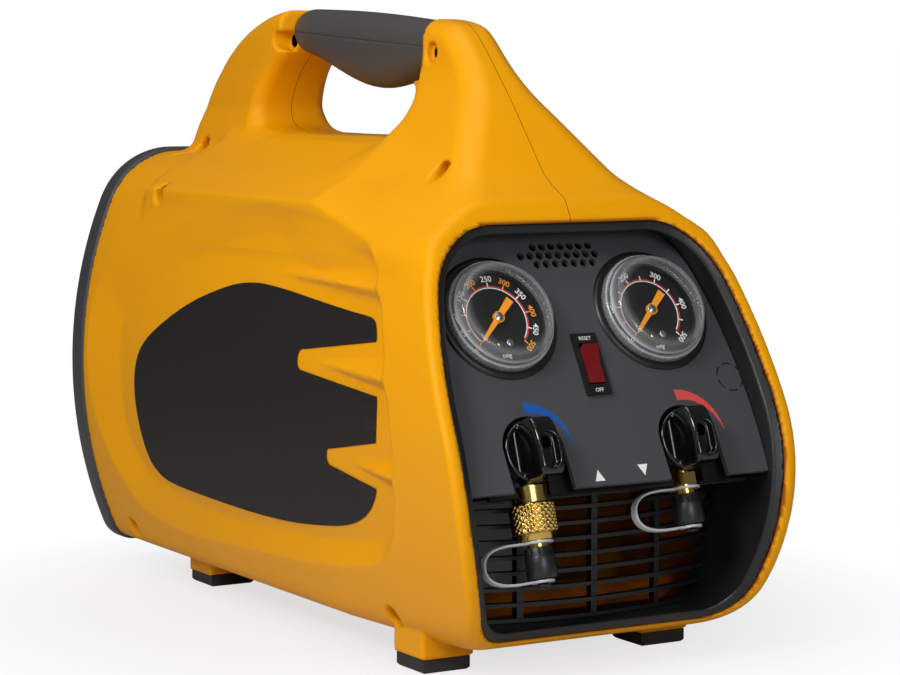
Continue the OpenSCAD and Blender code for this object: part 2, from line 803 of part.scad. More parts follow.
// Rocker with a shallow V face, pressed at its lower end
module switch_rocker() color("#a01818") on_panel(0, -switch_drop) {
    rotate([rocker_tilt, 0, 0]) rotate([90, 0, 90]) translate([0, 0, -rocker_w / 2]) linear_extrude(rocker_w)
        polygon([
            [-rocker_h / 2, 4.6], [0, 3], [rocker_h / 2, 4.6],
            [rocker_h / 2 - 2.5, -1], [0, -5], [2.5 - rocker_h / 2, -1]
        ]);
    rotate([0, 90, 0]) cylinder(r = rocker_pin_r, h = rocker_w + 2.4, center = true, $fn = 32);
}

// Plate behind the notches that carries both valves
module valve_bracket() color(dark) difference() {
    union() {
        on_panel(0, -104, -15) translate([-bracket_half_w, 0, 0]) cube([2 * bracket_half_w, 54, 3]);
        for (x = [-bracket_half_w + 5, -25, 25, bracket_half_w - 5])
            on_panel(x, -60, -13) cylinder(r = 4, h = 13 - panel_t - fit_gap);
    }
    for (s = [-1, 1]) on_valve(s) {
        translate([0, 0, -60]) cylinder(r = valve_r + fit_gap, h = 120);
        rotate([90, 0, 0]) cylinder(r = stub_r + fit_gap, h = collar_top);
        rotate([90, 0, 0]) translate([0, 0, collar_top - 3]) cylinder(r = collar_r + 1.5, h = 40);
    }
}

// Valve: stem housing, port stub and threaded end, bored for the knob stem
module valve(side, cap_top) color(brass) on_valve(side) difference() {
    union() {
        translate([0, 0, -24]) cylinder(r = valve_r, h = 26);
        rotate([90, 0, 0]) {
            cylinder(r = stub_r, h = collar_top + 1);
            translate([0, 0, collar_top]) cylinder(r = flare_thread_r, h = cap_top + thread_len - collar_top);
            if (side < 0) translate([0, 0, collar_top]) cylinder(r = collar_r, h = collar_end - collar_top);
            else translate([0, 0, collar_top]) cylinder(r = 8.3, h = collar_end - collar_top - 2, $fn = 6);
        }
    }
    translate([0, 0, -14]) cylinder(r = stem_r + run_gap, h = 40);
    rotate([90, 0, 0]) translate([0, 0, valve_r + 4]) cylinder(r = 2.4, h = 80);
}

module inlet_valve() valve(-1, inlet_cap_top);

module outlet_valve() valve(1, outlet_cap_top);

// Knob: base disc, bar grip with an oval recess, and the stem in the valve
module knob(side) color(rubber) on_valve(side) {
    translate([0, 0, -12]) cylinder(r = stem_r, h = 20);
    difference() {
        union() {
            translate([0, 0, 5.4]) cylinder(r1 = knob_r, r2 = knob_r - 1.2, h = 4.6);
            rotate([90, 0, 90]) translate([0, 0, -knob_bar_w / 2]) linear_extrude(knob_bar_w)
                polygon([
                    [-16, 9], [15.5, 9], [17, knob_reach - 10], [15, knob_reach - 6], [5, knob_reach - 0.6],
                    [-12, knob_reach], [-15.5, knob_reach - 2], [-17, knob_reach - 7]
                ]);
        }
        translate([0, -3.5, knob_reach - 6]) {
            translate([0, 4.5, 0]) cylinder(r = 4.6, h = 20);
            translate([0, -4.5, 0]) cylinder(r = 4.6, h = 20);
            translate([-4.6, -4.5, 0]) cube([9.2, 9, 20]);
        }
    }
}

module inlet_knob() knob(-1);

module outlet_knob() knob(1);

// Knurled coupling on the inlet stub, with a plain ring below it
module inlet_coupling() color(brass) on_valve(-1) rotate([90, 0, 0]) difference() {
    union() {
        translate([0, 0, collar_end + fit_gap]) cylinder(r = coupling_r, h = 17.5);
        translate([0, 0, collar_end + 17.5]) cylinder(r = coupling_r - 3.4, h = 3.4);
    }
    cylinder(r = flare_thread_r + run_gap, h = 90);
}

// Screw cap with a button that holds its strap
module cap(side, top) color(rubber) on_valve(side) rotate([90, 0, 0]) difference() {
    union() {
        translate([0, 0, top]) cylinder(r = cap_r, h = cap_len);
        translate([0, 0, top + cap_len]) cylinder(r = button_r, h = button_h);
        translate([0, 0, top + cap_len + button_h - eps]) cylinder(r = button_r + 1, h = 1.2);
    }
    translate([0, 0, top - 1]) cylinder(r = flare_thread_r + fit_gap, h = thread_len + 2);
}

module inlet_cap() cap(-1, inlet_cap_top);

module outlet_cap() cap(1, outlet_cap_top);

// Clear strap: an eyelet on the neck, a loop, and an eyelet on the cap's button
module strap(side, neck, top) color("#dde4e8", 0.5) on_valve(side) {
    low = top + cap_len + 0.6;
    drop = low - neck;
    loop_r = (drop + strap_t) / 2;
    rotate([90, 0, 0]) {
        translate([0, 0, neck]) difference() {
            cylinder(r = 9.4, h = strap_t);
            translate([0, 0, -1]) cylinder(r = flare_thread_r + fit_gap, h = 8);
        }
        translate([0, 0, low]) difference() {
            cylinder(r = 6.6, h = strap_t);
            translate([0, 0, -1]) cylinder(r = button_r + fit_gap, h = 8);
        }
    }
    translate([0, 0, -strap_w / 2]) linear_extrude(strap_w) difference() {
        union() {
            translate([loop_r - strap_reach, -neck - loop_r]) circle(r = loop_r);
            translate([loop_r - strap_reach, -neck - 2 * loop_r])
                square([strap_reach - loop_r - 5.6, 2 * loop_r]);
        }
        translate([loop_r - strap_reach, -neck - loop_r]) circle(r = loop_r - strap_t);
        translate([loop_r - strap_reach, -neck - 2 * loop_r + strap_t])
            square([strap_reach, drop - strap_t]);
        translate([-9, -neck - strap_t - eps]) square([9, strap_t + 2 * eps]);
    }
}

module inlet_strap() strap(-1, inlet_neck_end + eyelet_gap, inlet_cap_top);

module outlet_strap() strap(1, outlet_neck_end - strap_t, outlet_cap_top);

// Rubber feet with bevelled lower edges
module feet() color(rubber)
    for (sx = [-1, 1], f = [[foot_front_x, foot_front_y], [foot_rear_x, foot_rear_y]])
        translate([sx * f[0], f[1], 0]) difference() {
            translate([0, 0, foot_h / 2]) cube([foot_side, foot_side, foot_h], center = true);
            for (a = [0 : 90 : 270]) rotate(a) translate([foot_side / 2, 0, 0]) rotate([0, 45, 0])
                cube([2, foot_side + 2, 2], center = true);
        }

// Long screws from the left half into the right half
module case_screws() color(metal) for (p = screw_places) translate([0, p[0], p[1]]) rotate([0, 90, 0]) {
    translate([0, 0, -screw_seat - screw_head_h]) cylinder(r = screw_head_r, h = screw_head_h);
    translate([0, 0, -screw_seat - eps]) cylinder(r = screw_r, h = 2 * screw_seat - 1);
}

// Chassis plate on rubber isolators
module chassis_plate() color(metal) difference() {
    translate([-70, -145, chassis_top - chassis_t]) cube([140, 267, chassis_t]);
    for (p = isolator_places) translate(p) cylinder(r = 4, h = 60);
}

module isolators() color(rubber) for (p = isolator_places) translate([p[0], p[1], inner_floor])
    cylinder(r = 9, h = chassis_top - chassis_t - inner_floor);

// Saddle that carries the motor
module motor_cradle() color(metal) difference() {
    translate([-48, 16, chassis_top]) cube([96, 62, 34]);
    translate([0, 0, shaft_z]) rotate([-90, 0, 0]) cylinder(r = motor_r + fit_gap, h = 200);
    translate([-34, 0, chassis_top + 4]) cube([68, 100, 12]);
}

// Motor housing with ribs along it and a shaft bore in each end
module motor_housing() color(charcoal) translate([0, motor_front, shaft_z]) rotate([-90, 0, 0]) difference() {
    union() {
        cylinder(r = motor_r - 5, h = motor_rear - motor_front);
        translate([0, 0, 16]) cylinder(r = motor_r, h = motor_rear - motor_front - 32);
    }
    translate([0, 0, 6]) cylinder(r = motor_r - 14, h = motor_rear - motor_front - 12);
    translate([0, 0, -1]) cylinder(r = shaft_r + run_gap, h = 300);
}

module motor_shaft() color(metal) translate([0, -70, shaft_z]) rotate([-90, 0, 0])
    cylinder(r = shaft_r, h = fan_y + 70 + 14);

// Crankcase on its foot, open to the shaft and to the cylinder above
module crankcase() color(metal) difference() {
    union() {
        translate([0, -96, shaft_z]) rotate([-90, 0, 0]) cylinder(r = 42, h = motor_front + 96 - fit_gap);
        translate([-40, -90, chassis_top]) cube([80, 70, shaft_z - chassis_top]);
        translate([-28, -82, shaft_z]) cube([56, 56, block_h]);
    }
    translate([0, -84, shaft_z]) rotate([-90, 0, 0]) cylinder(r = 32, h = motor_front + 84 - 12);
    translate([0, -80, shaft_z]) rotate([-90, 0, 0]) cylinder(r = shaft_r + run_gap, h = 200);
    translate([0, cylinder_y, shaft_z]) cylinder(r = 20, h = 60);
}

// Finned cylinder and head above the crankcase
module cylinder_head() color(metal) translate([0, cylinder_y, shaft_z + block_h]) {
    for (i = [0 : 5]) translate([0, 0, i * 7]) cylinder(r = 34, h = 3);
    cylinder(r = 26, h = barrel_h);
    translate([-32, -32, barrel_h]) cube([64, 64, head_plate_t]);
    for (x = [-26, 26], y = [-10, 26]) translate([x, y, barrel_h + head_plate_t - eps]) cylinder(r = 4, h = 4);
}

// Axial fan: hub on the shaft and twisted blades
module fan_rotor() color(dark) translate([0, fan_y, shaft_z]) rotate([-90, 0, 0]) difference() {
    union() {
        translate([0, 0, -4]) cylinder(r = 20, h = 18);
        for (i = [0 : fan_blades - 1]) rotate(i * 360 / fan_blades)
            translate([14, 0, 5]) rotate([32, 0, 0]) translate([0, -13, -1]) cube([fan_r - 16, 26, 2]);
    }
    translate([0, 0, -20]) cylinder(r = shaft_r, h = 60);
}

// Shroud plate that fills the case section round the fan
module fan_shroud() color(dark) difference() {
    intersection() {
        body_form(wall + field_depth + 2 * fit_gap);
        translate([-big / 2, 162, 0]) cube([big, 4, 240]);
    }
    translate([0, 0, shaft_z]) rotate([-90, 0, 0]) cylinder(r = fan_r + 4, h = 300, $fn = 96);
}

// Finned condenser core behind the fan, held by the shroud
module condenser_fins() color(metal) {
    first = -(fin_count - 1) / 2 * fin_pitch - 0.5;
    for (i = [0 : fin_count - 1]) along_x(first + i * fin_pitch, first + i * fin_pitch + 1) difference() {
        translate([core_y, core_bottom]) square([core_depth, core_top - core_bottom]);
        for (z = tube_rows) translate([tube_y, z]) circle(r = tube_r + run_gap);
    }
    for (z = [core_bottom, core_top - 2]) translate([first, core_y, z])
        cube([(fin_count - 1) * fin_pitch + 1, core_depth, 2]);
}

// Condenser tubes: straight runs through the fins, with return bends brazed on their ends
module condenser_tubes() color(copper) {
    for (z = tube_rows) translate([-tube_end, tube_y, z]) rotate([0, 90, 0])
        cylinder(r = tube_r, h = 2 * tube_end);
    for (i = [0 : len(tube_rows) - 2]) {
        end = i % 2 == 0 ? 1 : -1;
        translate([end * (tube_end + run_gap), tube_y, tube_rows[i] + tube_pitch / 2])
            rotate([90, 0, 0]) rotate(end > 0 ? -90 : 90) rotate_extrude(angle = 180)
                translate([tube_pitch / 2, 0]) circle(r = tube_r);
    }
}

module capacitor() color(metal) translate([58, -45, chassis_top]) {
    cylinder(r = 9, h = 70);
    translate([0, 0, 70 - eps]) cylinder(r = 7, h = 4);
}

module pressure_switch() color(brass) translate([0, cylinder_y + 14, head_top]) {
    cylinder(r = 5, h = 10);
    translate([0, 0, 10 - eps]) cylinder(r = 9, h = 18, $fn = 6);
}

// A smooth route of points through four guide points
function route(g, n) = [for (i = [0 : n]) let (t = i / n, u = 1 - t)
    u * u * u * g[0] + 3 * u * u * t * g[1] + 3 * u * t * t * g[2] + t * t * t * g[3]];

// Rings of a round pipe along a route that never runs straight along X
function pipe_rings(p, r, sides) = [for (i = [0 : len(p) - 1])
    let (
        t = p[min(i + 1, len(p) - 1)] - p[max(i - 1, 0)],
        u = cross(t, [1, 0, 0]) / norm(cross(t, [1, 0, 0])),
        v = cross(u, t) / norm(cross(u, t))
    )
    [for (j = [0 : sides - 1]) p[i] + r * (cos(360 * j / sides) * u + sin(360 * j / sides) * v)]];

// Lines from each valve to the cylinder head
module refrigerant_lines() color(copper)
    for (s = [-1, 1]) loft(pipe_rings(route([[s * gauge_x, valve_y + 23.6, valve_z - 7.5],
        [s * gauge_x, -170, valve_z - 19], [s * 20, -80, 300], [s * 20, -80, head_top + fit_gap]], 14),
        line_r, 10));

left_shell();
right_shell();
grip_upper();
grip_lower();
rear_bezel();
rear_panel();
front_bezel();
instrument_panel();
front_grille();
side_label();
inlet_gauge_case();
outlet_gauge_case();
inlet_dial();
outlet_dial();
inlet_lens();
outlet_lens();
inlet_pointer();
outlet_pointer();
switch_body();
switch_rocker();
valve_bracket();
inlet_valve();
outlet_valve();
inlet_knob();
outlet_knob();
inlet_coupling();
inlet_cap();
outlet_cap();
inlet_strap();
outlet_strap();
feet();
case_screws();
chassis_plate();
isolators();
motor_cradle();
motor_housing();
motor_shaft();
crankcase();
cylinder_head();
fan_rotor();
fan_shroud();
condenser_fins();
condenser_tubes();
capacitor();
pressure_switch();
refrigerant_lines();
power_inlet();
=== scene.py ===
"""Looks of a portable refrigerant recovery machine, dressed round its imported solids.

Lengths are millimetres in the part's own frame (X across, -Y the instrument front, Z up) until a
mesh is written, in metres.
"""

import logging
import math
from collections.abc import Callable, Iterable, Sequence
from dataclasses import dataclass
from enum import Enum

import bpy
import numpy as np
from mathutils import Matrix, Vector


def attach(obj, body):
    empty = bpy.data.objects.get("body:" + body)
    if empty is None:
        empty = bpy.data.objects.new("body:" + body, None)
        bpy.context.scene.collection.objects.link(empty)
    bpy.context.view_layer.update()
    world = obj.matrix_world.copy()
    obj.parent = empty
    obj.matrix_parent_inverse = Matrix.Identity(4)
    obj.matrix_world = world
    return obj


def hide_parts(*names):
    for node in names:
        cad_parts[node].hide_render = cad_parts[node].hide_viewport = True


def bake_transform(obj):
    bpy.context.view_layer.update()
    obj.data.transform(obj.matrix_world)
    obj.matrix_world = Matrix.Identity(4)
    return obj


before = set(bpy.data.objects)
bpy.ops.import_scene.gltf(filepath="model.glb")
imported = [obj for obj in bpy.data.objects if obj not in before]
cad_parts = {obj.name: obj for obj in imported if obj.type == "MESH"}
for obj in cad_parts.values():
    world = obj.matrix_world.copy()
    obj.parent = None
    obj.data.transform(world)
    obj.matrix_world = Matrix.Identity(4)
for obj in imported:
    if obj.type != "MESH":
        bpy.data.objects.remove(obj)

LOG = logging.getLogger("recovery_machine")
MM = 0.001
GRAIN_DEPTH = 0.0004
WHITE = (1.0, 1.0, 1.0, 1.0)

Array = np.ndarray
Colour = tuple[float, float, float, float]
Place = tuple[float, float, float]
Points = Sequence[Sequence[float]]
Mesh = tuple[Array, Array]
Print = tuple[Array, Sequence[Sequence[int]] | Array]
Field = Callable[[Array, Array, Array], Array]
Swell = Callable[[Array, Array], Array]
Material = bpy.types.Material
Piece = bpy.types.Object


def srgb(red: int, green: int, blue: int) -> Colour:
    """Turns display values into the linear colour that a shader takes.

    Args:
        red: Red from 0 to 255.
        green: Green from 0 to 255.
        blue: Blue from 0 to 255.

    Returns:
        Linear red, green and blue, and an alpha of 1.
    """
    scaled = np.array([red, green, blue]) / 255
    linear = np.where(scaled <= 0.04045, scaled / 12.92, ((scaled + 0.055) / 1.055) ** 2.4)
    return (*(float(part) for part in linear), 1.0)


class Side(Enum):
    """The two gauge and valve sides, by the sign of X."""

    INLET = -1
    OUTLET = 1

    @property
    def word(self) -> str:
        """Name used in node and body names."""
        return self.name.lower()


@dataclass(frozen=True)
class Axes:
    """A local frame that leans back about X: u runs across, v up the lean, n out of it.

    Attributes:
        origin: Place of the local origin.
        tilt: Lean from vertical, in degrees.
    """

    origin: Place
    tilt: float

    def world(self, local: Array) -> Array:
        """Carries local points into the part's frame.

        Args:
            local: Points as rows of u, v and n.

        Returns:
            The same points as rows of x, y and z.
        """
        angle = math.radians(self.tilt)
        sin, cos = math.sin(angle), math.cos(angle)
        basis = np.array([[1, 0, 0], [0, sin, cos], [0, -cos, sin]])
        return np.asarray(self.origin) + np.asarray(local, float) @ basis


GAUGE_X = 52.5
PANEL = Axes((0.0, -201.0, 204.0), 29.3)


def gauge_axes(side: Side) -> Axes:
    """Frame of one gauge, on the panel face at its centre."""
    return Axes((side.value * GAUGE_X, *PANEL.origin[1:]), PANEL.tilt)


def valve_axes(side: Side) -> Axes:
    """Frame of one valve: v runs up its port axis and n along its knob axis."""
    return Axes((side.value * GAUGE_X, -228.0, 129.3), 18.0)


# Distance fields


def round_and(first: Array, second: Array, radius: float) -> Array:
    """Overlap of two fields, with its outer edge rounded to a radius."""
    corner = np.hypot(np.maximum(first + radius, 0), np.maximum(second + radius, 0))
    return np.minimum(np.maximum(first, second), -radius) + corner


def round_or(first: Array, second: Array, radius: float) -> Array:
    """Sum of two fields, with its inner edge filleted to a radius."""
    corner = np.hypot(np.maximum(radius - first, 0), np.maximum(radius - second, 0))
    return np.maximum(np.minimum(first, second), radius) - corner


def ease(value: Array) -> Array:
    """Smooth step from 0 to 1 over the unit range."""
    part = np.clip(value, 0, 1)
    return part * part * (3 - 2 * part)


def arc(centre: Sequence[float], radius: float, start: float, end: float, count: int) -> Array:
    """Points of a round stretch between two angles in degrees.

    Args:
        centre: Its centre.
        radius: Its radius.
        start: First angle.
        end: Last angle.
        count: How many points.

    Returns:
        The points.
    """
    angle = np.radians(np.linspace(start, end, count))
    return np.asarray(centre) + radius * np.stack([np.cos(angle), np.sin(angle)], 1)


def smooth_loop(points: Points, per: int = 8) -> Array:
    """Closed curve through points: cubic stretches, whose end slopes are half the neighbours' chord.

    Args:
        points: What it runs through.
        per: Points on each stretch.

    Returns:
        Points of the curve.
    """
    knots = np.asarray(points, float)
    before, after, beyond = np.roll(knots, 1, 0), np.roll(knots, -1, 0), np.roll(knots, -2, 0)
    t = np.linspace(0, 1, per, endpoint=False)[None, :, None]
    a, b, c, d = (part[:, None, :] for part in (before, knots, after, beyond))
    curve = b + 0.5 * t * (c - a + t * (2 * a - 5 * b + 4 * c - d + t * (3 * (b - c) + d - a)))
    return curve.reshape(-1, 2)


def cut_corners(points: Points, times: int = 3, share: float = 0.25) -> Array:
    """Closed outline with every corner cut at a share of its edges, again and again.

    Args:
        points: Corners.
        times: How often they are cut.
        share: Where on an edge a cut starts.

    Returns:
        Corners of the cut outline.
    """
    loop = np.asarray(points, float)
    for _ in range(times):
        after = np.roll(loop, -1, 0)
        loop = np.stack([loop + share * (after - loop), after - share * (after - loop)], 1).reshape(-1, 2)
    return loop


class Outline:
    """Signed distance to a closed outline, kept on a square grid and read back between its nodes."""

    def __init__(self, points: Array, pitch: float = 1.0, margin: float = 40.0) -> None:
        """Tabulates the distance.

        Args:
            points: Corners of the closed outline.
            pitch: Grid spacing.
            margin: How far the grid runs past the outline.
        """
        self.low = points.min(0) - margin
        self.pitch = pitch
        self.count = np.ceil((points.max(0) + margin - self.low) / pitch).astype(int) + 1
        across, up = (self.low[i] + pitch * np.arange(self.count[i]) for i in (0, 1))
        across, up = np.meshgrid(across, up, indexing="ij")
        nearest = np.full(across.shape, np.inf)
        inside = np.zeros(across.shape, bool)
        for start, end in zip(points, np.roll(points, -1, 0)):
            edge = end - start
            length = float(edge @ edge)
            if length < 1e-9:
                continue
            along = np.clip(((across - start[0]) * edge[0] + (up - start[1]) * edge[1]) / length, 0, 1)
            gap = (across - start[0] - along * edge[0]) ** 2 + (up - start[1] - along * edge[1]) ** 2
            nearest = np.minimum(nearest, gap)
            if abs(edge[1]) > 1e-9:
                spans = (start[1] > up) != (end[1] > up)
                inside ^= spans & (across < start[0] + (up - start[1]) * edge[0] / edge[1])
        self.table = np.where(inside, -1, 1) * np.sqrt(nearest)

    def __call__(self, across: Array, up: Array) -> Array:
        """Distance at points, read between the four nearest nodes.

        Args:
            across: First coordinate of the points.
            up: Second coordinate.

        Returns:
            Distance at each point, negative inside.
        """
        across, up = np.broadcast_arrays(np.asarray(across, float), np.asarray(up, float))
        column = np.clip((across - self.low[0]) / self.pitch, 0, self.count[0] - 1.001)
        row = np.clip((up - self.low[1]) / self.pitch, 0, self.count[1] - 1.001)
        i, j = column.astype(int), row.astype(int)
        s, t = column - i, row - j
        lower = self.table[i, j] * (1 - s) + self.table[i + 1, j] * s
        upper = self.table[i, j + 1] * (1 - s) + self.table[i + 1, j + 1] * s
        return lower * (1 - t) + upper * t


def surface_nets(values: Array, low: Sequence[float], step: float) -> Mesh:
    """Quads round the zero level of a sampled field.

    Every grid cell that the level passes through gets one point, the mean of the level's crossings on
    the cell's edges. Every grid edge that it crosses gets one quad between the four cells around it.

    Args:
        values: Field on a grid, negative inside.
        low: Place of the grid's first node.
        step: Grid spacing.

    Returns:
        Points and quads that face outwards.
    """
    inside = values < 0
    corners = [(i, j, k) for i in (0, 1) for j in (0, 1) for k in (0, 1)]
    size = np.array(values.shape) - 1
    parts = [inside[i : i + size[0], j : j + size[1], k : k + size[2]] for i, j, k in corners]
    active = np.logical_or.reduce(parts) & ~np.logical_and.reduce(parts)
    cell = np.argwhere(active)
    corner_values = np.stack([values[tuple((cell + c).T)] for c in corners], 1)
    total = np.zeros((len(cell), 3))
    count = np.zeros((len(cell), 1))
    for a, first in enumerate(corners):
        for b, second in enumerate(corners):
            if b > a and sum(abs(p - q) for p, q in zip(first, second)) == 1:
                start, end = corner_values[:, a], corner_values[:, b]
                crossed = (start < 0) != (end < 0)
                share = np.where(crossed, start / np.where(crossed, start - end, 1), 0)[:, None]
                place = np.asarray(first) + share * (np.asarray(second) - np.asarray(first))
                total += np.where(crossed[:, None], place, 0)
                count += crossed[:, None]
    points = np.asarray(low) + step * (cell + total / count)
    number = np.full(tuple(size), -1, np.int64)
    number[tuple(cell.T)] = np.arange(len(cell))
    quads = []
    for axis in range(3):
        one, two = (axis + 1) % 3, (axis + 2) % 3
        here = [slice(None)] * 3
        there = [slice(None)] * 3
        here[axis], there[axis] = slice(0, -1), slice(1, None)
        start, end = inside[tuple(here)], inside[tuple(there)]
        edge = np.argwhere(start != end)
        pair = edge[:, [one, two]]
        edge = edge[((pair > 0) & (pair < size[[one, two]])).all(1)]
        out = start[tuple(edge.T)]
        ring = []
        for back_one, back_two in ((1, 1), (0, 1), (0, 0), (1, 0)):
            around = edge.copy()
            around[:, one] -= back_one
            around[:, two] -= back_two
            ring.append(number[tuple(around.T)])
        ring = np.stack(ring, 1)
        quads.append(np.where(out[:, None], ring, ring[:, ::-1]))
    return points, np.concatenate(quads)


def grid_of(low: Sequence[float], high: Sequence[float], step: float) -> tuple[Array, Array, Array]:
    """Node places of a grid along each axis, shaped so that they spread over three dimensions."""
    x, y, z = (np.arange(a, b + step, step) for a, b in zip(low, high))
    return x[:, None, None], y[None, :, None], z[None, None, :]


def net_of(field: Field, low: Sequence[float], high: Sequence[float], step: float) -> Mesh:
    """Quads round the zero level of a field inside a box.

    Args:
        field: Field of x, y and z.
        low: Lower corner.
        high: Upper corner.
        step: Grid spacing.

    Returns:
        Points and quads.
    """
    x, y, z = grid_of(low, high, step)
    values = np.broadcast_to(field(x, y, z), (x.size, y.size, z.size))
    return surface_nets(values, low, step)


def settle(field: Field, points: Array, reach: float, rounds: int = 2) -> Array:
    """Moves points onto a field's zero level: down the slope, by the value over the slope's length.

    Args:
        field: Field of x, y and z.
        points: Points near its zero level.
        reach: Longest move of a round on each axis.
        rounds: How often the move is made.

    Returns:
        The moved points.
    """
    span, least = 0.05, 0.25
    for _ in range(rounds):
        steps = [field(*(points + d).T) - field(*(points - d).T) for d in span * np.eye(3)]
        slope = np.stack(steps, 1) / (2 * span)
        move = field(*points.T)[:, None] * slope / np.maximum((slope**2).sum(1), least)[:, None]
        points = points - np.clip(move, -reach, reach)
    return points


# Swept surfaces


def grid_faces(rows: int, columns: int, wrap_columns: bool = False) -> Array:
    """Quads over a grid of points numbered row by row.

    Args:
        rows: Rows of points.
        columns: Points in a row.
        wrap_columns: Whether a row closes on itself.

    Returns:
        Rows of four point numbers.
    """
    i = np.arange(rows - 1)[:, None]
    j = np.arange(columns if wrap_columns else columns - 1)[None, :]
    after_i, after_j = i + 1, (j + 1) % columns
    corners = [i * columns + j, i * columns + after_j, after_i * columns + after_j, after_i * columns + j]
    return np.stack(np.broadcast_arrays(*corners), -1).reshape(-1, 4)


def lathe(profile: Points, segments: int, swell: Swell | None = None) -> Mesh:
    """Turns a profile of radius and height about n; swell adds to the radius by angle and height.

    Args:
        profile: Radius and height of each ring.
        segments: Points round a ring.
        swell: What is added.

    Returns:
        Points and quads.
    """
    radius, height = np.asarray(profile, float).T
    angle = np.linspace(0, 2 * math.pi, segments, endpoint=False)[None, :]
    radius, height = np.broadcast_arrays(radius[:, None], height[:, None] + 0 * angle)
    if swell is not None:
        radius = radius + swell(angle, height)
    points = np.stack([radius * np.cos(angle), radius * np.sin(angle), height], -1).reshape(-1, 3)
    return points, grid_faces(len(profile), segments, wrap_columns=True)


def merged(parts: Iterable[Mesh]) -> Mesh:
    """Several sets of points and quads as one.

    Args:
        parts: The sets.

    Returns:
        Points and quads.
    """
    points, faces, used = [], [], 0
    for some, quads in parts:
        points.append(some)
        faces.append(quads + used)
        used += len(some)
    return np.concatenate(points), np.concatenate(faces)


# Pieces


def add_mesh(name: str, points: Array, faces: Array, material: Material) -> Piece:
    """Writes points and equal-sized faces as a smoothly shaded object at the origin.

    Args:
        name: Piece name.
        points: Points in millimetres.
        faces: Rows of point numbers.
        material: Material of the whole piece.

    Returns:
        The new object.
    """
    mesh = bpy.data.meshes.new(name)
    mesh.vertices.add(len(points))
    mesh.vertices.foreach_set("co", (points * MM).astype(np.float32).ravel())
    mesh.loops.add(faces.size)
    mesh.loops.foreach_set("vertex_index", faces.astype(np.int32).ravel())
    mesh.polygons.add(len(faces))
    mesh.polygons.foreach_set("loop_start", np.arange(0, faces.size, faces.shape[1], dtype=np.int32))
    mesh.polygons.foreach_set("use_smooth", np.full(len(faces), True))
    mesh.update(calc_edges=True)
    mesh.materials.append(material)
    made = bpy.data.objects.new(name, mesh)
    bpy.context.scene.collection.objects.link(made)
    return made


def set_attribute(piece: Piece, name: str, values: Array) -> None:
    """Stores one number for each point of a piece."""
    layer = piece.data.attributes.new(name, "FLOAT", "POINT")
    layer.data.foreach_set("value", values.astype(np.float32))


def place(piece: Piece, body: str, slot: str, *replaces: str) -> Piece:
    """Ties a finished piece to its body and hides the nodes that it stands for.

    Args:
        piece: The piece.
        body: Body that it moves with.
        slot: Material slot; not used.
        replaces: Nodes that it stands for.

    Returns:
        The piece.
    """
    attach(piece, body)
    if replaces:
        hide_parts(*replaces)
    return piece


# Finishes


class Sock:
    """A shader socket that takes part in arithmetic with sockets and plain numbers."""

    def __init__(self, graph: "Graph", socket: bpy.types.NodeSocket) -> None:
        """Keeps the socket and the graph that its arithmetic goes into."""
        self.graph = graph
        self.socket = socket

    def math(self, operation: str, *terms: "Sock | float") -> "Sock":
        """Adds a Math node over terms, in order."""
        return self.graph.node("ShaderNodeMath", {"operation": operation}, dict(enumerate(terms)))

    def __add__(self, other: "Sock | float") -> "Sock":
        """This and another added."""
        return self.math("ADD", self, other)

    def __radd__(self, other: float) -> "Sock":
        """A number and this added."""
        return self.math("ADD", other, self)

    def __sub__(self, other: "Sock | float") -> "Sock":
        """This less another."""
        return self.math("SUBTRACT", self, other)

    def __rsub__(self, other: float) -> "Sock":
        """A number less this."""
        return self.math("SUBTRACT", other, self)

    def __mul__(self, other: "Sock | float") -> "Sock":
        """This times another."""
        return self.math("MULTIPLY", self, other)

    def __rmul__(self, other: float) -> "Sock":
        """A number times this."""
        return self.math("MULTIPLY", other, self)

    def __lt__(self, other: "Sock | float") -> "Sock":
        """1 where this is less than another, otherwise 0."""
        return self.math("LESS_THAN", self, other)

    def __gt__(self, other: "Sock | float") -> "Sock":
        """1 where this is more than another, otherwise 0."""
        return self.math("GREATER_THAN", self, other)

    def __abs__(self) -> "Sock":
        """This without its sign."""
        return self.math("ABSOLUTE", self)


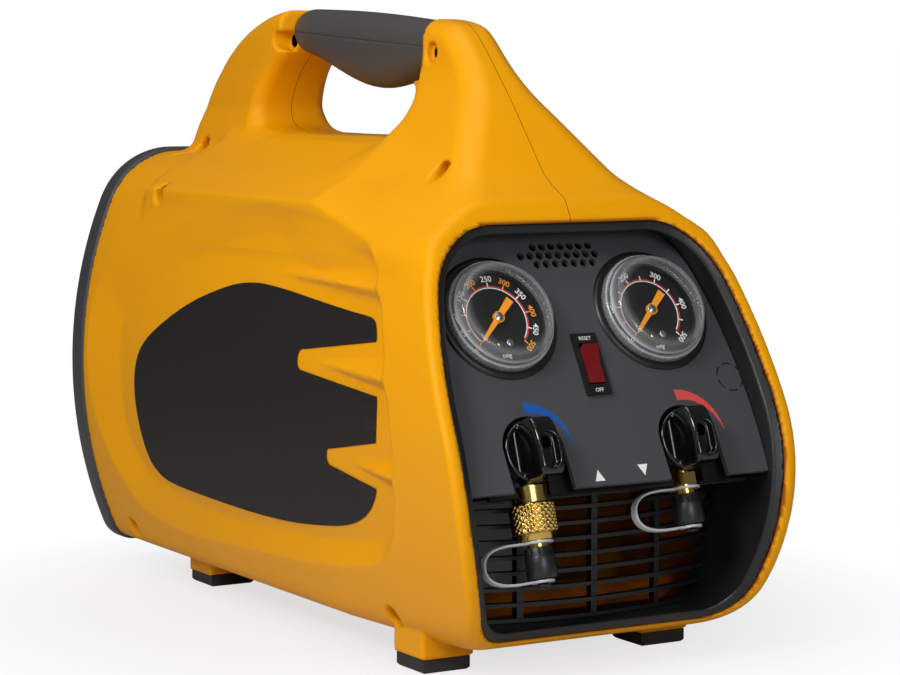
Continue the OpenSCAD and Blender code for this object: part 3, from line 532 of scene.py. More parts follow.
class Graph:
    """The node tree of one new material, or of the world."""

    def __init__(self, name: str, world: bool = False) -> None:
        """Makes the material or world and empties its tree.

        Args:
            name: Name of the material or world.
            world: Whether it is a world.
        """
        self.owner = (bpy.data.worlds if world else bpy.data.materials).new(name)
        self.owner.use_nodes = True
        self.tree = self.owner.node_tree
        self.tree.nodes.clear()

    def node(
        self, kind: str, settings: dict | None = None, inputs: dict | None = None, output: int | str = 0
    ) -> Sock:
        """Makes a node.

        Args:
            kind: Node type.
            settings: Its properties.
            inputs: Values or sockets by input name or number.
            output: Which output is returned.

        Returns:
            The chosen output.
        """
        made = self.tree.nodes.new(kind)
        for key, value in (settings or {}).items():
            setattr(made, key, value)
        for key, value in (inputs or {}).items():
            if isinstance(value, Sock):
                self.tree.links.new(value.socket, made.inputs[key])
            else:
                made.inputs[key].default_value = value
        return Sock(self, made.outputs[output])

    def place(self) -> Sock:
        """Place on the piece, in its own frame."""
        return self.node("ShaderNodeTexCoord", output="Object")

    def axis(self, name: str) -> Sock:
        """One coordinate of the place on the piece."""
        return self.node("ShaderNodeSeparateXYZ", inputs={0: self.place()}, output=name)

    def attribute(self, name: str) -> Sock:
        """A number that the piece's points carry."""
        return self.node("ShaderNodeAttribute", {"attribute_name": name}, output="Fac")

    def grain(self, scale: float, detail: float = 2.0) -> Sock:
        """Even noise over the piece."""
        inputs = {"Vector": self.place(), "Scale": scale, "Detail": detail}
        return self.node("ShaderNodeTexNoise", inputs=inputs)

    def mix(self, share: Sock | float, first: Colour | Sock, second: Colour | Sock) -> Sock:
        """Colour between two colours."""
        return self.node("ShaderNodeMix", {"data_type": "RGBA"}, {0: share, 6: first, 7: second}, output=2)

    def bump(self, height: Sock, strength: float) -> Sock:
        """Normal that follows a grain's height."""
        inputs = {"Height": height, "Strength": strength, "Distance": GRAIN_DEPTH}
        return self.node("ShaderNodeBump", inputs=inputs)

    def camera_sees(self) -> Sock:
        """1 on what the camera sees directly, otherwise 0."""
        return self.node("ShaderNodeLightPath", output="Is Camera Ray")

    def finish(self, **inputs: "Sock | float | Colour") -> Material:
        """Closes the tree with a principled surface, whose inputs are named with underscores."""
        sockets = {key.replace("_", " "): value for key, value in inputs.items()}
        return self.close(self.node("ShaderNodeBsdfPrincipled", inputs=sockets))

    def close(self, shader: Sock) -> bpy.types.ID:
        """Sends a shader to the output.

        Args:
            shader: Shader socket.

        Returns:
            The finished material or world.
        """
        kind = "World" if isinstance(self.owner, bpy.types.World) else "Material"
        made = self.tree.nodes.new(f"ShaderNodeOutput{kind}")
        self.tree.links.new(shader.socket, made.inputs["Surface"])
        return self.owner


@dataclass(frozen=True)
class Finish:
    """A plastic, rubber, paint, metal or ink, even or with a fine grain.

    Attributes:
        name: Material name.
        colour: Base colour.
        roughness: Mean roughness.
        metallic: Share of metal.
        coat: Weight of a clear coat.
        scale: Scale of the grain, or 0 for none.
        strength: Strength of the grain's bump.
    """

    name: str
    colour: Colour
    roughness: float
    metallic: float = 0.0
    coat: float = 0.0
    scale: float = 0.0
    strength: float = 0.0

    def material(self) -> Material:
        """Makes the material; a grain bumps the surface and moves its roughness a little.

        Returns:
            The material.
        """
        graph, sway = Graph(self.name), 0.1
        if not self.scale:
            weights = {"Metallic": self.metallic, "Coat_Weight": self.coat}
            return graph.finish(Base_Color=self.colour, Roughness=self.roughness, **weights)
        height = graph.grain(self.scale)
        return graph.finish(
            Base_Color=self.colour,
            Roughness=self.roughness + sway * (height - 0.5),
            Normal=graph.bump(height, self.strength),
        )


@dataclass(frozen=True)
class CasePlastic:
    """Golden moulded plastic with a fine grain, painted shade over its inside and a dark line where the
    halves meet.

    Attributes:
        deep: Darker end of the gold, which drifts over the case.
        light: Paler end.
        inside: Painted shade: colour of the points that line the hollow, where little light reaches.
        parting: Colour of the line between the halves.
        half_line: Half the line's width, in metres.
        roughness: Mean roughness.
        sway: How far the grain moves the roughness.
        strength: Strength of the grain's bump.
        specular: Level of the gloss.
    """

    deep: Colour = srgb(232, 156, 0)
    light: Colour = srgb(236, 161, 0)
    # Painted shade colour for the dim inside of the case.
    inside: Colour = srgb(150, 78, 8)
    parting: Colour = srgb(104, 56, 0)
    half_line: float = 0.00022
    roughness: float = 0.48
    sway: float = 0.12
    strength: float = 0.12
    specular: float = 0.16

    def material(self) -> Material:
        """Makes the material: the gold, painted shade on the inside by the "inner" attribute, and the line by
        X.

        Returns:
            The material.
        """
        graph = Graph("case_yellow")
        height = graph.grain(1700.0, 3.0)
        drift = graph.grain(14.0)
        line = abs(graph.axis("X")) < self.half_line
        gold = graph.mix(drift, self.deep, self.light)
        # Points that line the hollow take a darker colour: painted shade for the dim inside of the case.
        tone = graph.mix(graph.attribute("inner"), gold, self.inside)
        return graph.finish(
            Base_Color=graph.mix(line, tone, self.parting),
            Roughness=self.roughness + self.sway * (height - 0.5),
            Specular_IOR_Level=self.specular,
            Normal=graph.bump(height, self.strength),
        )


@dataclass(frozen=True)
class LabelFilm:
    """Dark printed film, with a faint honeycomb that shows towards its front end.

    Attributes:
        dark: Colour of the film.
        cell: Colour of the honeycomb's edges.
        scale: Cells per metre.
        edge: Width of a cell's edge, as a share of the cell.
        fade: Y where the honeycomb starts and where it is full, in metres.
        most: Its share where it is full.
    """

    dark: Colour = srgb(29, 26, 26)
    cell: Colour = srgb(62, 28, 18)
    scale: float = 82.0
    edge: float = 0.06
    fade: tuple[float, float] = (-0.06, -0.17)
    most: float = 0.5

    def material(self) -> Material:
        """Makes the material: the distance to the cells' edges in Y and Z marks the honeycomb.

        Returns:
            The material.
        """
        graph = Graph("label_dark")
        y, z = graph.axis("Y"), graph.axis("Z")
        flat = graph.node("ShaderNodeCombineXYZ", inputs={0: y, 1: z, 2: 0.0})
        cells = graph.node(
            "ShaderNodeTexVoronoi",
            {"feature": "DISTANCE_TO_EDGE", "voronoi_dimensions": "2D"},
            {"Vector": flat, "Scale": self.scale, "Randomness": 0.0},
        )
        span = {0: y, 1: self.fade[0], 2: self.fade[1], 3: 0.0, 4: self.most}
        front = graph.node("ShaderNodeMapRange", inputs=span)
        tone = graph.mix(front * (cells < self.edge), self.dark, self.cell)
        return graph.finish(Base_Color=tone, Roughness=0.6, Specular_IOR_Level=0.25)


@dataclass(frozen=True)
class ClearPlastic:
    """Clear moulding whose body shows by the piece's "veil" attribute, brighter by its "tone" attribute:
    painted highlight rings on a lens, the own pale tint of a strap.

    Attributes:
        name: Material name.
        tint_and_highlight: Colour where the tone is full: the strap's own pale tint, and the painted
            highlights of a lens.
        roughness: Roughness.
        dark: Colour where the tone is none.
        coat: Weight of a clear coat.
    """

    name: str
    tint_and_highlight: Colour
    roughness: float
    dark: Colour = srgb(40, 40, 42)
    coat: float = 0.6

    def material(self) -> Material:
        """Makes the material.

        Returns:
            The material.
        """
        graph = Graph(self.name)
        # On a lens the tone paints highlight rings in place of reflections on its edges; on a strap it is the
        # plastic's own tint.
        tone = graph.mix(graph.attribute("tone"), self.dark, self.tint_and_highlight)
        veil = graph.attribute("veil")
        return graph.finish(Base_Color=tone, Roughness=self.roughness, Alpha=veil, Coat_Weight=self.coat)


class Looks:
    """Every material of the machine, made once."""

    def __init__(self) -> None:
        """Makes the materials from their finishes."""
        self.yellow = CasePlastic().material()
        self.grip = Finish("grip_rubber", srgb(70, 68, 67), 0.5, scale=900.0, strength=0.1).material()
        self.trim = Finish("trim_dark", srgb(23, 23, 25), 0.42, scale=1500.0, strength=0.06).material()
        self.rear_trim = Finish("rear_trim", srgb(56, 57, 60), 0.5, scale=1300.0, strength=0.1).material()
        self.panel = Finish("panel_charcoal", srgb(68, 68, 72), 0.45, scale=1900.0, strength=0.08).material()
        self.black = Finish("gauge_black", srgb(17, 17, 18), 0.4).material()
        self.dial = Finish("dial_black", srgb(9, 9, 9), 0.5).material()
        self.gloss = Finish("knob_black", srgb(8, 8, 9), 0.2, coat=0.3).material()
        self.cap = Finish("cap_black", srgb(26, 26, 27), 0.38).material()
        self.foot = Finish("foot_rubber", srgb(33, 32, 32), 0.6, scale=700.0, strength=0.08).material()
        self.brass = Finish("brass", srgb(222, 186, 104), 0.22, metallic=1.0).material()
        self.steel = Finish("steel", srgb(190, 191, 194), 0.3, metallic=1.0).material()
        self.alloy = Finish("cast_alloy", srgb(150, 150, 154), 0.5, metallic=0.8).material()
        self.copper = Finish("copper", srgb(196, 120, 84), 0.35, metallic=1.0).material()
        self.motor = Finish("motor_paint", srgb(46, 46, 50), 0.5).material()
        self.rocker = Finish("rocker_red", srgb(112, 6, 14), 0.15, coat=0.6).material()
        self.pointer = Finish("pointer_orange", srgb(248, 158, 26), 0.45).material()
        self.white = Finish("print_white", srgb(236, 236, 234), 0.5).material()
        self.orange = Finish("print_orange", srgb(244, 158, 40), 0.5).material()
        self.red = Finish("print_red", srgb(206, 40, 44), 0.5).material()
        self.blue = Finish("print_blue", srgb(10, 82, 164), 0.5).material()
        self.red_arc = Finish("arc_red", srgb(214, 74, 70), 0.5).material()
        self.label = LabelFilm().material()
        self.lens = ClearPlastic("lens_clear", srgb(222, 226, 228), 0.06).material()
        self.strap = ClearPlastic("strap_clear", srgb(226, 229, 230), 0.25).material()

    def dress(self) -> None:
        """Gives each node that stays visible its material."""
        looks = {
            self.trim: ["fan_rotor", "fan_shroud"],
            self.dial: ["inlet_dial", "outlet_dial", "front_grille", "valve_bracket"],
            self.rear_trim: ["rear_panel"],
            self.panel: ["instrument_panel"],
            self.black: ["inlet_gauge_case", "outlet_gauge_case", "switch_body", "power_inlet", "isolators"],
            self.pointer: ["inlet_pointer", "outlet_pointer"],
            self.rocker: ["switch_rocker"],
            self.brass: ["inlet_valve", "outlet_valve", "pressure_switch"],
            self.foot: ["feet"],
            self.steel: ["case_screws", "chassis_plate", "motor_shaft"],
            self.alloy: ["motor_cradle", "crankcase", "cylinder_head", "condenser_fins", "capacitor"],
            self.copper: ["condenser_tubes", "refrigerant_lines"],
            self.motor: ["motor_housing"],
        }
        for material, names in looks.items():
            for name in names:
                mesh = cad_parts[name].data
                mesh.materials.clear()
                mesh.materials.append(material)


# The moulded case


def mirrored(points: Points) -> Array:
    """Closed outline from its right half and the left half that mirrors it."""
    right = np.asarray(points, float)
    return np.concatenate([right, (right * [-1, 1])[::-1]])


@dataclass
class Case:
    """The clamshell case as one field: a bowed body, a roof saddle, two handle legs and dished sides.

    Attributes:
        wall: Wall thickness.
        lip: Width of the front lip.
        lip_depth: Its depth behind the front rim.
        step: Grid spacing of the skin.
        front_half_w: Half width at the front rim.
        rear_half_w: Half width at the rear.
        rear_top: Height of the rear section.
        rear_end: Y of the rear end.
        side_r: Radius of the bowed sides.
        shoulder_r: Radius of the shoulders.
        widest_z: Height of the widest place.
        sole: Height of the underside.
        front_low_r: Radius of the bottom corners at the front rim.
        rear_low_r: Radius of the bottom corners at the rear.
        hole_r: Radius of a screw well.
        hole_end: X of its floor.
        boss_r: Radius of a screw boss.
        foot_half: Half side of a foot's pad.
        foot_low: Height of its underside.
        foot_high: Height that it runs up to.
        dish_depth: Depth of the side field's floor.
        holes: Y and Z of each screw.
        feet: X and Y of each pad of a half.
        claws: Tip Y and Z, root Y, and the slopes of the upper edge, ridge and lower edge of each claw.
    """

    wall: float = 3.6
    lip: float = 8.0
    lip_depth: float = 9.0
    step: float = 2.0
    front_half_w: float = 117.0
    rear_half_w: float = 119.0
    rear_top: float = 290.0
    rear_end: float = 244.0
    side_r: float = 300.0
    shoulder_r: float = 55.0
    widest_z: float = 141.0
    sole: float = 17.0
    front_low_r: float = 40.0
    rear_low_r: float = 17.0
    hole_r: float = 6.5
    hole_end: float = 13.0
    boss_r: float = 9.5
    foot_half: float = 17.0
    foot_low: float = 8.0
    foot_high: float = 40.0
    dish_depth: float = 8.5
    holes: Points = ((124, 365), (-67, 355), (218, 292), (160, 262), (-139, 285), (207, 30), (-158, 30))
    feet: Points = ((75.5, -168.0), (64.0, 136.0))
    claws: Points = (
        (-11.0, 221.2, -162.0, 0.067, -0.012, -0.067),
        (-81.5, 171.8, -183.0, 0.111, -0.018, -0.103),
        (-128.0, 117.2, -194.5, 0.110, -0.026, -0.165),
    )

    def __post_init__(self) -> None:
        """Draws the outlines that the form is made of, in side view (Y, Z) or front view (X, Z)."""
        self.front = Outline(self.front_line(), margin=12)
        self.field = Outline(self.field_line())
        self.front_leg_side = Outline(
            cut_corners(
                [
                    (-205, 240), (-200, 258), (-171, 279), (-153, 300), (-132, 325), (-92, 367), (-76, 375),
                    (-30, 377), (-30, 338), (-53, 330), (-51, 305), (-44, 292), (-24, 280), (-24, 240),
                ]
            )
        )
        self.front_leg_front = Outline(
            np.concatenate(
                [
                    [[-150, 215], [150, 215]],
                    [[76, 252]],
                    arc((78, 358), 60, 213, 180, 16),
                    [[18, 420], [-18, 420]],
                    arc((-78, 358), 60, 360, 327, 16),
                    [[-76, 252]],
                ]
            )
        )
        self.rear_leg_side = Outline(self.rear_leg_line())
        self.rear_leg_front = Outline(mirrored([(60, 230), (34, 300), (28, 320), (26, 345), (26, 430)]))
        self.roof = Outline(mirrored([(100, 230), (98, 266), (36, 300), (24, 303)]))

    @staticmethod
    def front_line() -> Array:
        """Side view of the front rim: arcs at the sill and the belly, and a straight that leans back.

        Returns:
            Corners of the closed outline, which is everything behind the rim.
        """
        belly, belly_r = np.array([-131.0, 96.0]), 131
        sill, sill_r = np.array([-205.94, 68.0]), 51
        meet, leave, lean = 200.49, 153.2, math.radians(26.8)
        rim = belly + belly_r * np.array([math.cos(math.radians(leave)), math.sin(math.radians(leave))])
        rise = np.array([math.sin(lean), math.cos(lean)])
        return np.concatenate(
            [
                [[300, -60], [sill[0], -60]],
                arc(sill, sill_r, 270, meet, 24),
                arc(belly, belly_r, meet, leave, 40)[1:],
                [rim + 280 * rise, [300, 440]],
            ]
        )

    @staticmethod
    def field_line() -> Array:
        """Side view of the dished field's edge, a smooth loop.

        Returns:
            Points of the closed outline.
        """
        return smooth_loop(
            [
                (213, 211), (186, 223.6), (145, 238.3), (112, 247.6), (75, 255), (29, 261), (-10, 262),
                (-50, 260), (-90, 255), (-124, 248.7), (-138, 245), (-148, 239), (-156, 231), (-164, 219),
                (-171, 204), (-180, 184), (-187, 163), (-192, 143), (-195, 125), (-195, 112), (-191, 97),
                (-183, 80), (-160, 62), (-100, 52), (-40, 47), (58, 42), (105, 40), (150, 43), (185, 54),
                (215, 85), (231, 120), (237, 150), (233, 185), (224, 202),
            ]
        )

    @staticmethod
    def rear_leg_line() -> Array:
        """Side view of the rear leg: an elliptic back, and a smooth edge round the hand gap.

        Returns:
            Points of the closed outline.
        """
        back = np.radians(np.arange(88, 4, -4))
        gap = [
            (118, 298), (136, 302), (149, 308), (155, 318),
            (151, 330), (142, 342), (130, 352), (112, 360),
        ]
        return np.concatenate(
            [
                [[90, 355], [90, 386]],
                np.stack([104 + 142 * np.cos(back), 289 + 97 * np.sin(back)], 1),
                [[246, 240], [92, 240], [100, 297]],
                smooth_loop(gap)[:56],
            ]
        )

    def top(self, y: Array) -> Array:
        """Height of the body's top: two straight falls that meet in a soft bend."""
        rear, front = 283 + (y + 90) * 7 / 354, 283 + (y + 90) * 30 / 180
        return 0.5 * (rear + front - np.sqrt((rear - front) ** 2 + 64))

    def side_centre(self, y: Array) -> Array:
        """X of the centre of the bowed side."""
        return np.interp(y, [-270, -90], [self.front_half_w, self.rear_half_w]) - self.side_r

    def dish(self, y: Array, z: Array) -> Array:
        """Depth of the side field: an even slope in from its edge, which fades out to the rear and below.

        Args:
            y: Y of the places.
            z: Z of the places.

        Returns:
            Depth at each place.
        """
        stations = [-190, -160, -137, -90, -10, 75, 145, 200]
        slope = np.interp(y, stations, [4.0, 5.0, 9.5, 13.0, 18.0, 23.0, 31.0, 38.0])
        low = np.interp(y, [-190, -165, -60, 60, 150], [5.0, 14.0, 16.0, 17.0, 26.0])
        reach = slope + (low - slope) * ease((150 - z) / 70)
        return self.dish_depth * np.clip(-self.field(y, z) / reach, 0, 1)

    def claw_height(self, y: Array, z: Array) -> Array:
        """Height of the claw ribs: flat facets either side of a ridge that falls straight to its tip.

        Args:
            y: Y of the places.
            z: Z of the places.

        Returns:
            Height at each place.
        """
        rise = np.zeros(np.broadcast(y, z).shape)
        for tip_y, tip_z, root_y, upper, ridge, lower in self.claws:
            run = np.maximum(tip_y - y, 0.01)
            lean = (z - tip_z) / run
            flank = np.where(lean > ridge, (upper - lean) / (upper - ridge), (lean - lower) / (ridge - lower))
            rise = np.maximum(rise, self.dish_depth * run / (tip_y - root_y) * np.clip(flank, 0, 1))
        return rise

    def inset(self, y: Array, z: Array) -> Array:
        """How far the side lies in from the plain form: the dish, less the claws on its floor."""
        dish = self.dish(y, z)
        return dish - np.minimum(self.claw_height(y, z), dish)

    def body(self, x: Array, y: Array, z: Array) -> Array:
        """Distance to the plain body: each section is bottom corner, bowed side and shoulder, all tangent.

        Args:
            x: Distance of the places from the middle plane.
            y: Y of the places.
            z: Z of the places.

        Returns:
            Distance at each place, negative inside.
        """
        centre = self.side_centre(y)
        top = self.top(y)
        low_r = np.interp(y, [-270, -90], [self.front_low_r, self.rear_low_r])
        top_z, low_z = top - self.shoulder_r, self.sole + low_r
        top_x = centre + np.sqrt((self.side_r - self.shoulder_r) ** 2 - (top_z - self.widest_z) ** 2)
        low_x = centre + np.sqrt((self.side_r - low_r) ** 2 - (low_z - self.widest_z) ** 2)
        turn = np.arctan2(z - self.widest_z, x - centre)
        side = np.hypot(x - centre, z - self.widest_z) - self.side_r
        shoulder = np.where(x > top_x, np.hypot(x - top_x, z - top_z) - self.shoulder_r, z - top)
        sole = np.where(x > low_x, np.hypot(x - low_x, z - low_z) - low_r, self.sole - z)
        upper = turn > np.arctan2(top_z - self.widest_z, top_x - centre)
        lower = turn < np.arctan2(low_z - self.widest_z, low_x - centre)
        return np.where(upper, shoulder, np.where(lower, sole, side))

    def outside(self, x: Array, y: Array, z: Array) -> Array:
        """Distance to the outside of the case: body, saddle and legs joined with fillets, then the pads.

        Args:
            x: Distance of the places from the middle plane.
            y: Y of the places.
            z: Z of the places.

        Returns:
            Distance at each place, negative inside.
        """
        saddle = round_and(self.roof(x, z + 0.25 * np.maximum(-60 - y, 0)), np.abs(y - 17) - 177, 16)
        rear_leg = round_and(self.rear_leg_side(y, z), self.rear_leg_front(x, z), 10)
        rear_leg = np.maximum(rear_leg, -np.maximum(y - 120, 340 - z))
        front_leg = round_and(self.front_leg_side(y, z), self.front_leg_front(x, z), 13)
        front_leg = np.maximum(front_leg, -np.maximum(-56 - y, 338 - z))
        form = round_or(self.body(x, y, z), saddle, 3) + self.inset(y, z)
        form = round_or(form, rear_leg, 8)
        form = round_or(form, front_leg, 16)
        form = round_and(form, self.front(y, z), 3)
        for foot_x, foot_y in self.feet:
            plan = np.maximum(np.abs(x - foot_x), np.abs(y - foot_y)) - self.foot_half
            form = np.minimum(form, np.maximum(plan, np.maximum(self.foot_low - z, z - self.foot_high)))
        return np.maximum(form, y - self.rear_end)

    def screw_gap(self, y: Array, z: Array) -> Array:
        """Distance in side view to the nearest screw."""
        return np.minimum.reduce([np.hypot(y - hole_y, z - hole_z) for hole_y, hole_z in self.holes])

    def hollow(self, x: Array, y: Array, z: Array) -> Array:
        """Distance to the hollow of the case: its body less a wall, the front lip and the screw bosses.

        Args:
            x: Distance of the places from the middle plane.
            y: Y of the places.
            z: Z of the places.

        Returns:
            Distance at each place, negative in the hollow.
        """
        within = self.body(x, y, z) + self.dish_depth * np.clip(1 - self.field(y, z) / 6, 0, 1)
        room = np.maximum(within + self.wall, self.sole + self.wall - z)
        lip = np.maximum(-within - self.lip, -self.front(y, z) - self.lip_depth)
        return np.maximum(round_and(room, -lip, 1.5), self.boss_r - self.screw_gap(y, z))

    def skin(self, bored: bool) -> tuple[Array, Array, Array]:
        """Points and quads of one half, from the middle plane outwards in X, hollow behind its front rim.

        Args:
            bored: Whether the screw heads are sunk into this half.

        Returns:
            Points, quads, and which points line the hollow.
        """

        def outer(x: Array, y: Array, z: Array) -> Array:
            """Distance to the outside, less the screw wells."""
            form = self.outside(x, y, z)
            if not bored:
                return form
            return np.maximum(form, -np.maximum(self.screw_gap(y, z) - self.hole_r, self.hole_end - x))

        def shell(x: Array, y: Array, z: Array) -> Array:
            """Distance to the wall, with a soft edge where it opens."""
            return round_and(outer(x, y, z), -self.hollow(x, y, z), 1.6)

        points, quads = net_of(shell, (-self.step / 2, -266.0, 4.0), (124.0, 248.0, 390.0), self.step)
        points = settle(shell, points, 0.3 * self.step)
        lining = -self.hollow(*points.T) > outer(*points.T) + 0.3
        unseen = lining & (points[:, 1] > -110) & (points[:, 1] < 238)
        quads = quads[~unseen[quads].any(1)]
        used, numbers = np.unique(quads, return_inverse=True)
        points = points[used]
        points[:, 0] = np.maximum(points[:, 0], 0)
        return points, numbers.reshape(-1, 4), lining[used]

    def ring(self, step: float) -> Mesh:
        """Points and quads of the dark ring inside the lip, whose face slopes back towards the panel.

        Args:
            step: Grid spacing.

        Returns:
            Points and quads.
        """
        back = [(-193.6, -20), (-193.6, 207), (-169.5, 250), (-141, 302), (-141, 400)]
        rear = Outline(np.array([(-300, -20), *back, (-300, 400)], float), margin=10)

        def band(x: Array, y: Array, z: Array) -> Array:
            """Distance to the ring: a strip inside the lip, between its sloped face and its rear."""
            outer = self.body(np.abs(x), y, z) + self.lip + 0.2
            face = self.front(y - 1.6 - 0.6 * np.clip(-outer, 0, 7), z)
            strip = round_and(round_and(outer, face, 0.8), -outer - 6.0, 1.4)
            return np.maximum(strip, rear(y, z))

        points, quads = net_of(band, (-113.0, -264.0, 20.0), (113.0, -140.0, 292.0), step)
        return settle(band, points, 0.3 * step), quads

    def wall_x(self, y: Array, z: Array, proud: float) -> Array:
        """Half width of the field's floor at a place, a little proud of it."""
        reach = self.side_r - self.dish(y, z) + proud
        return self.side_centre(y) + np.sqrt(reach**2 - (z - self.widest_z) ** 2)

    def add(self, looks: Looks) -> list[Piece]:
        """Adds the two halves; the screws go in from the left one.

        Args:
            looks: Materials.

        Returns:
            The pieces.
        """
        pieces = []
        for word, sign in (("right", 1), ("left", -1)):
            points, quads, lining = self.skin(sign < 0)
            piece = add_mesh(f"{word}_shell_skin", points * [sign, 1, 1], quads[:, ::sign], looks.yellow)
            # The lining points carry the painted shade of the case's inside.
            set_attribute(piece, "inner", lining)
            pieces.append(place(piece, "housing", "case_yellow", f"{word}_shell"))
        return pieces

    def add_front_ring(self, looks: Looks) -> list[Piece]:
        """Adds the dark ring inside the front rim."""
        points, quads = self.ring(1.3)
        piece = add_mesh("front_ring", points, quads, looks.trim)
        return [place(piece, "housing", "trim_dark", "front_bezel")]


@dataclass
class Label:
    """The film on the left field: a soft loop with a round-tipped notch for each of two claws.

    Attributes:
        case: The case that it lies on.
        step: Grid spacing.
        span: Half the stretch that a slope is taken over.
        thick: How far it stands off the field's floor.
        mouth_y: Y of a notch's mouth.
        past_y: Y past the front of the film, where a notch's outline ends.
        notches: Tip Y, Z and radius, first and last angle of the tip's arc, and top and bottom of the mouth.
        loop: Y and Z of the film's edge.
    """

    case: Case
    step: float = 1.5
    span: float = 0.3
    thick: float = 0.5
    mouth_y: float = -164.0
    past_y: float = -200.0
    notches: Points = (
        (-70.5, 172.0, 6.4, 98, 265, 190.5, 158.8),
        (-107.0, 117.6, 5.2, 100, 261, 132.5, 104.6),
    )
    loop: Points = (
        (-162.5, 135), (-163, 159), (-157, 188), (-154.4, 196.5), (-151, 201), (-144, 203), (-120, 204.6),
        (-84, 207.5), (-45, 210.8), (-13, 212.8), (9, 212.8), (35, 210), (67, 202.5), (99, 192.5),
        (136, 176.6), (160, 162.5), (171, 148), (174, 130), (171, 107), (164, 87), (154, 77), (134, 71),
        (83, 68.5), (14, 67.5), (-40, 69), (-88, 73.6), (-118, 78.4), (-139, 85.7), (-152.7, 95.4),
        (-160, 108),
    )

    def __post_init__(self) -> None:
        """Draws the edge and the notches."""
        self.whole = Outline(smooth_loop(self.loop), 0.75, 20)
        self.cuts = []
        for tip_y, tip_z, radius, start, end, high, low in self.notches:
            tip = arc((tip_y, tip_z), radius, start, end - 360, 24)
            past = [(self.mouth_y, low), (self.past_y, low), (self.past_y, high)]
            self.cuts.append(Outline(np.concatenate([[(self.mouth_y, high)], tip, past]), 0.5, 20))

    def edge(self, y: Array, z: Array) -> Array:
        """Distance to the film's edge in side view, negative inside."""
        return np.maximum.reduce([self.whole(y, z), *(-cut(y, z) for cut in self.cuts)])

    def add(self, looks: Looks) -> list[Piece]:
        """Adds the film.

        Grid points over the field are kept inside the film's outline, those next to its edge are moved onto
        it along the distance's slope, and each is lifted off the field's floor by the film's thickness.

        Args:
            looks: Materials.

        Returns:
            The piece.
        """
        span, near_by = self.span, 0.7 * self.step
        y, z = np.meshgrid(np.arange(-168, 184, self.step), np.arange(62, 218, self.step), indexing="ij")
        away = self.edge(y, z)
        slope_y = self.edge(y + span, z) - self.edge(y - span, z)
        slope_z = self.edge(y, z + span) - self.edge(y, z - span)
        length = np.maximum(np.hypot(slope_y, slope_z), 0.2)
        near = np.abs(away) < near_by
        y, z = np.where(near, y - away * slope_y / length, y), np.where(near, z - away * slope_z / length, z)
        kept = away < near_by
        quads = grid_faces(*y.shape)
        quads = quads[kept.ravel()[quads].all(1)]
        used, numbers = np.unique(quads, return_inverse=True)
        points = np.stack([-self.case.wall_x(y, z, self.thick), y, z], -1).reshape(-1, 3)[used]
        piece = add_mesh("side_label_film", points, numbers.reshape(-1, 4), looks.label)
        return [place(piece, "housing", "label_dark", "side_label")]


@dataclass
class RearRing:
    """The dark ring round the case's rear edge.

    Attributes:
        case: The case that it closes.
        count: Points along an arc of the section.
        rim: The rim's profile, as inset from the case's section and Y.
    """

    case: Case
    count: int = 40
    rim: Points = (
        (1.2, 242.4), (-0.9, 242.4), (-1.7, 243.2), (-2, 245), (-2, 256), (-1.6, 258.6), (-0.4, 260.6),
        (1.6, 261.8), (4, 262), (9.5, 262), (11, 261.4), (11.6, 260), (11.6, 247.6), (3.8, 247.6),
    )

    def section(self, inset: float) -> Array:
        """Closed rear section of the case, drawn in by an inset: arcs that run tangent.

        Args:
            inset: How far it is drawn in.

        Returns:
            Points as X and Z.
        """
        case, count = self.case, self.count
        side_r, top_r, low_r = case.side_r, case.shoulder_r, case.rear_low_r
        widest, top = case.widest_z, case.rear_top
        centre, top_z, low_z = case.rear_half_w - side_r, top - top_r, case.sole + low_r
        top_x = centre + math.sqrt((side_r - top_r) ** 2 - (top_z - widest) ** 2)
        low_x = centre + math.sqrt((side_r - low_r) ** 2 - (low_z - widest) ** 2)
        up = math.degrees(math.atan2(top_z - widest, top_x - centre))
        down = math.degrees(math.atan2(low_z - widest, low_x - centre))
        half = np.concatenate(
            [
                np.stack([np.linspace(0, low_x, 8, endpoint=False), np.full(8, case.sole + inset)], 1),
                arc((low_x, low_z), low_r - inset, -90, down, count // 2)[:-1],
                arc((centre, widest), side_r - inset, down, up, count)[:-1],
                arc((top_x, top_z), top_r - inset, up, 90, count)[:-1],
                np.stack([np.linspace(top_x, 0, 6), np.full(6, top - inset)], 1),
            ]
        )
        return np.concatenate([half, (half * [-1, 1])[-2:0:-1]])

    def add(self, looks: Looks) -> list[Piece]:
        """Adds the ring: the case section carried round the rim's profile.

        Args:
            looks: Materials.

        Returns:
            The piece.
        """
        rings = [np.insert(self.section(inset), 1, y, axis=1) for inset, y in self.rim]
        faces = grid_faces(len(rings), len(rings[0]), wrap_columns=True)
        piece = add_mesh("rear_ring", np.stack(rings).reshape(-1, 3), faces, looks.rear_trim)
        return [place(piece, "housing", "trim_dark", "rear_bezel")]


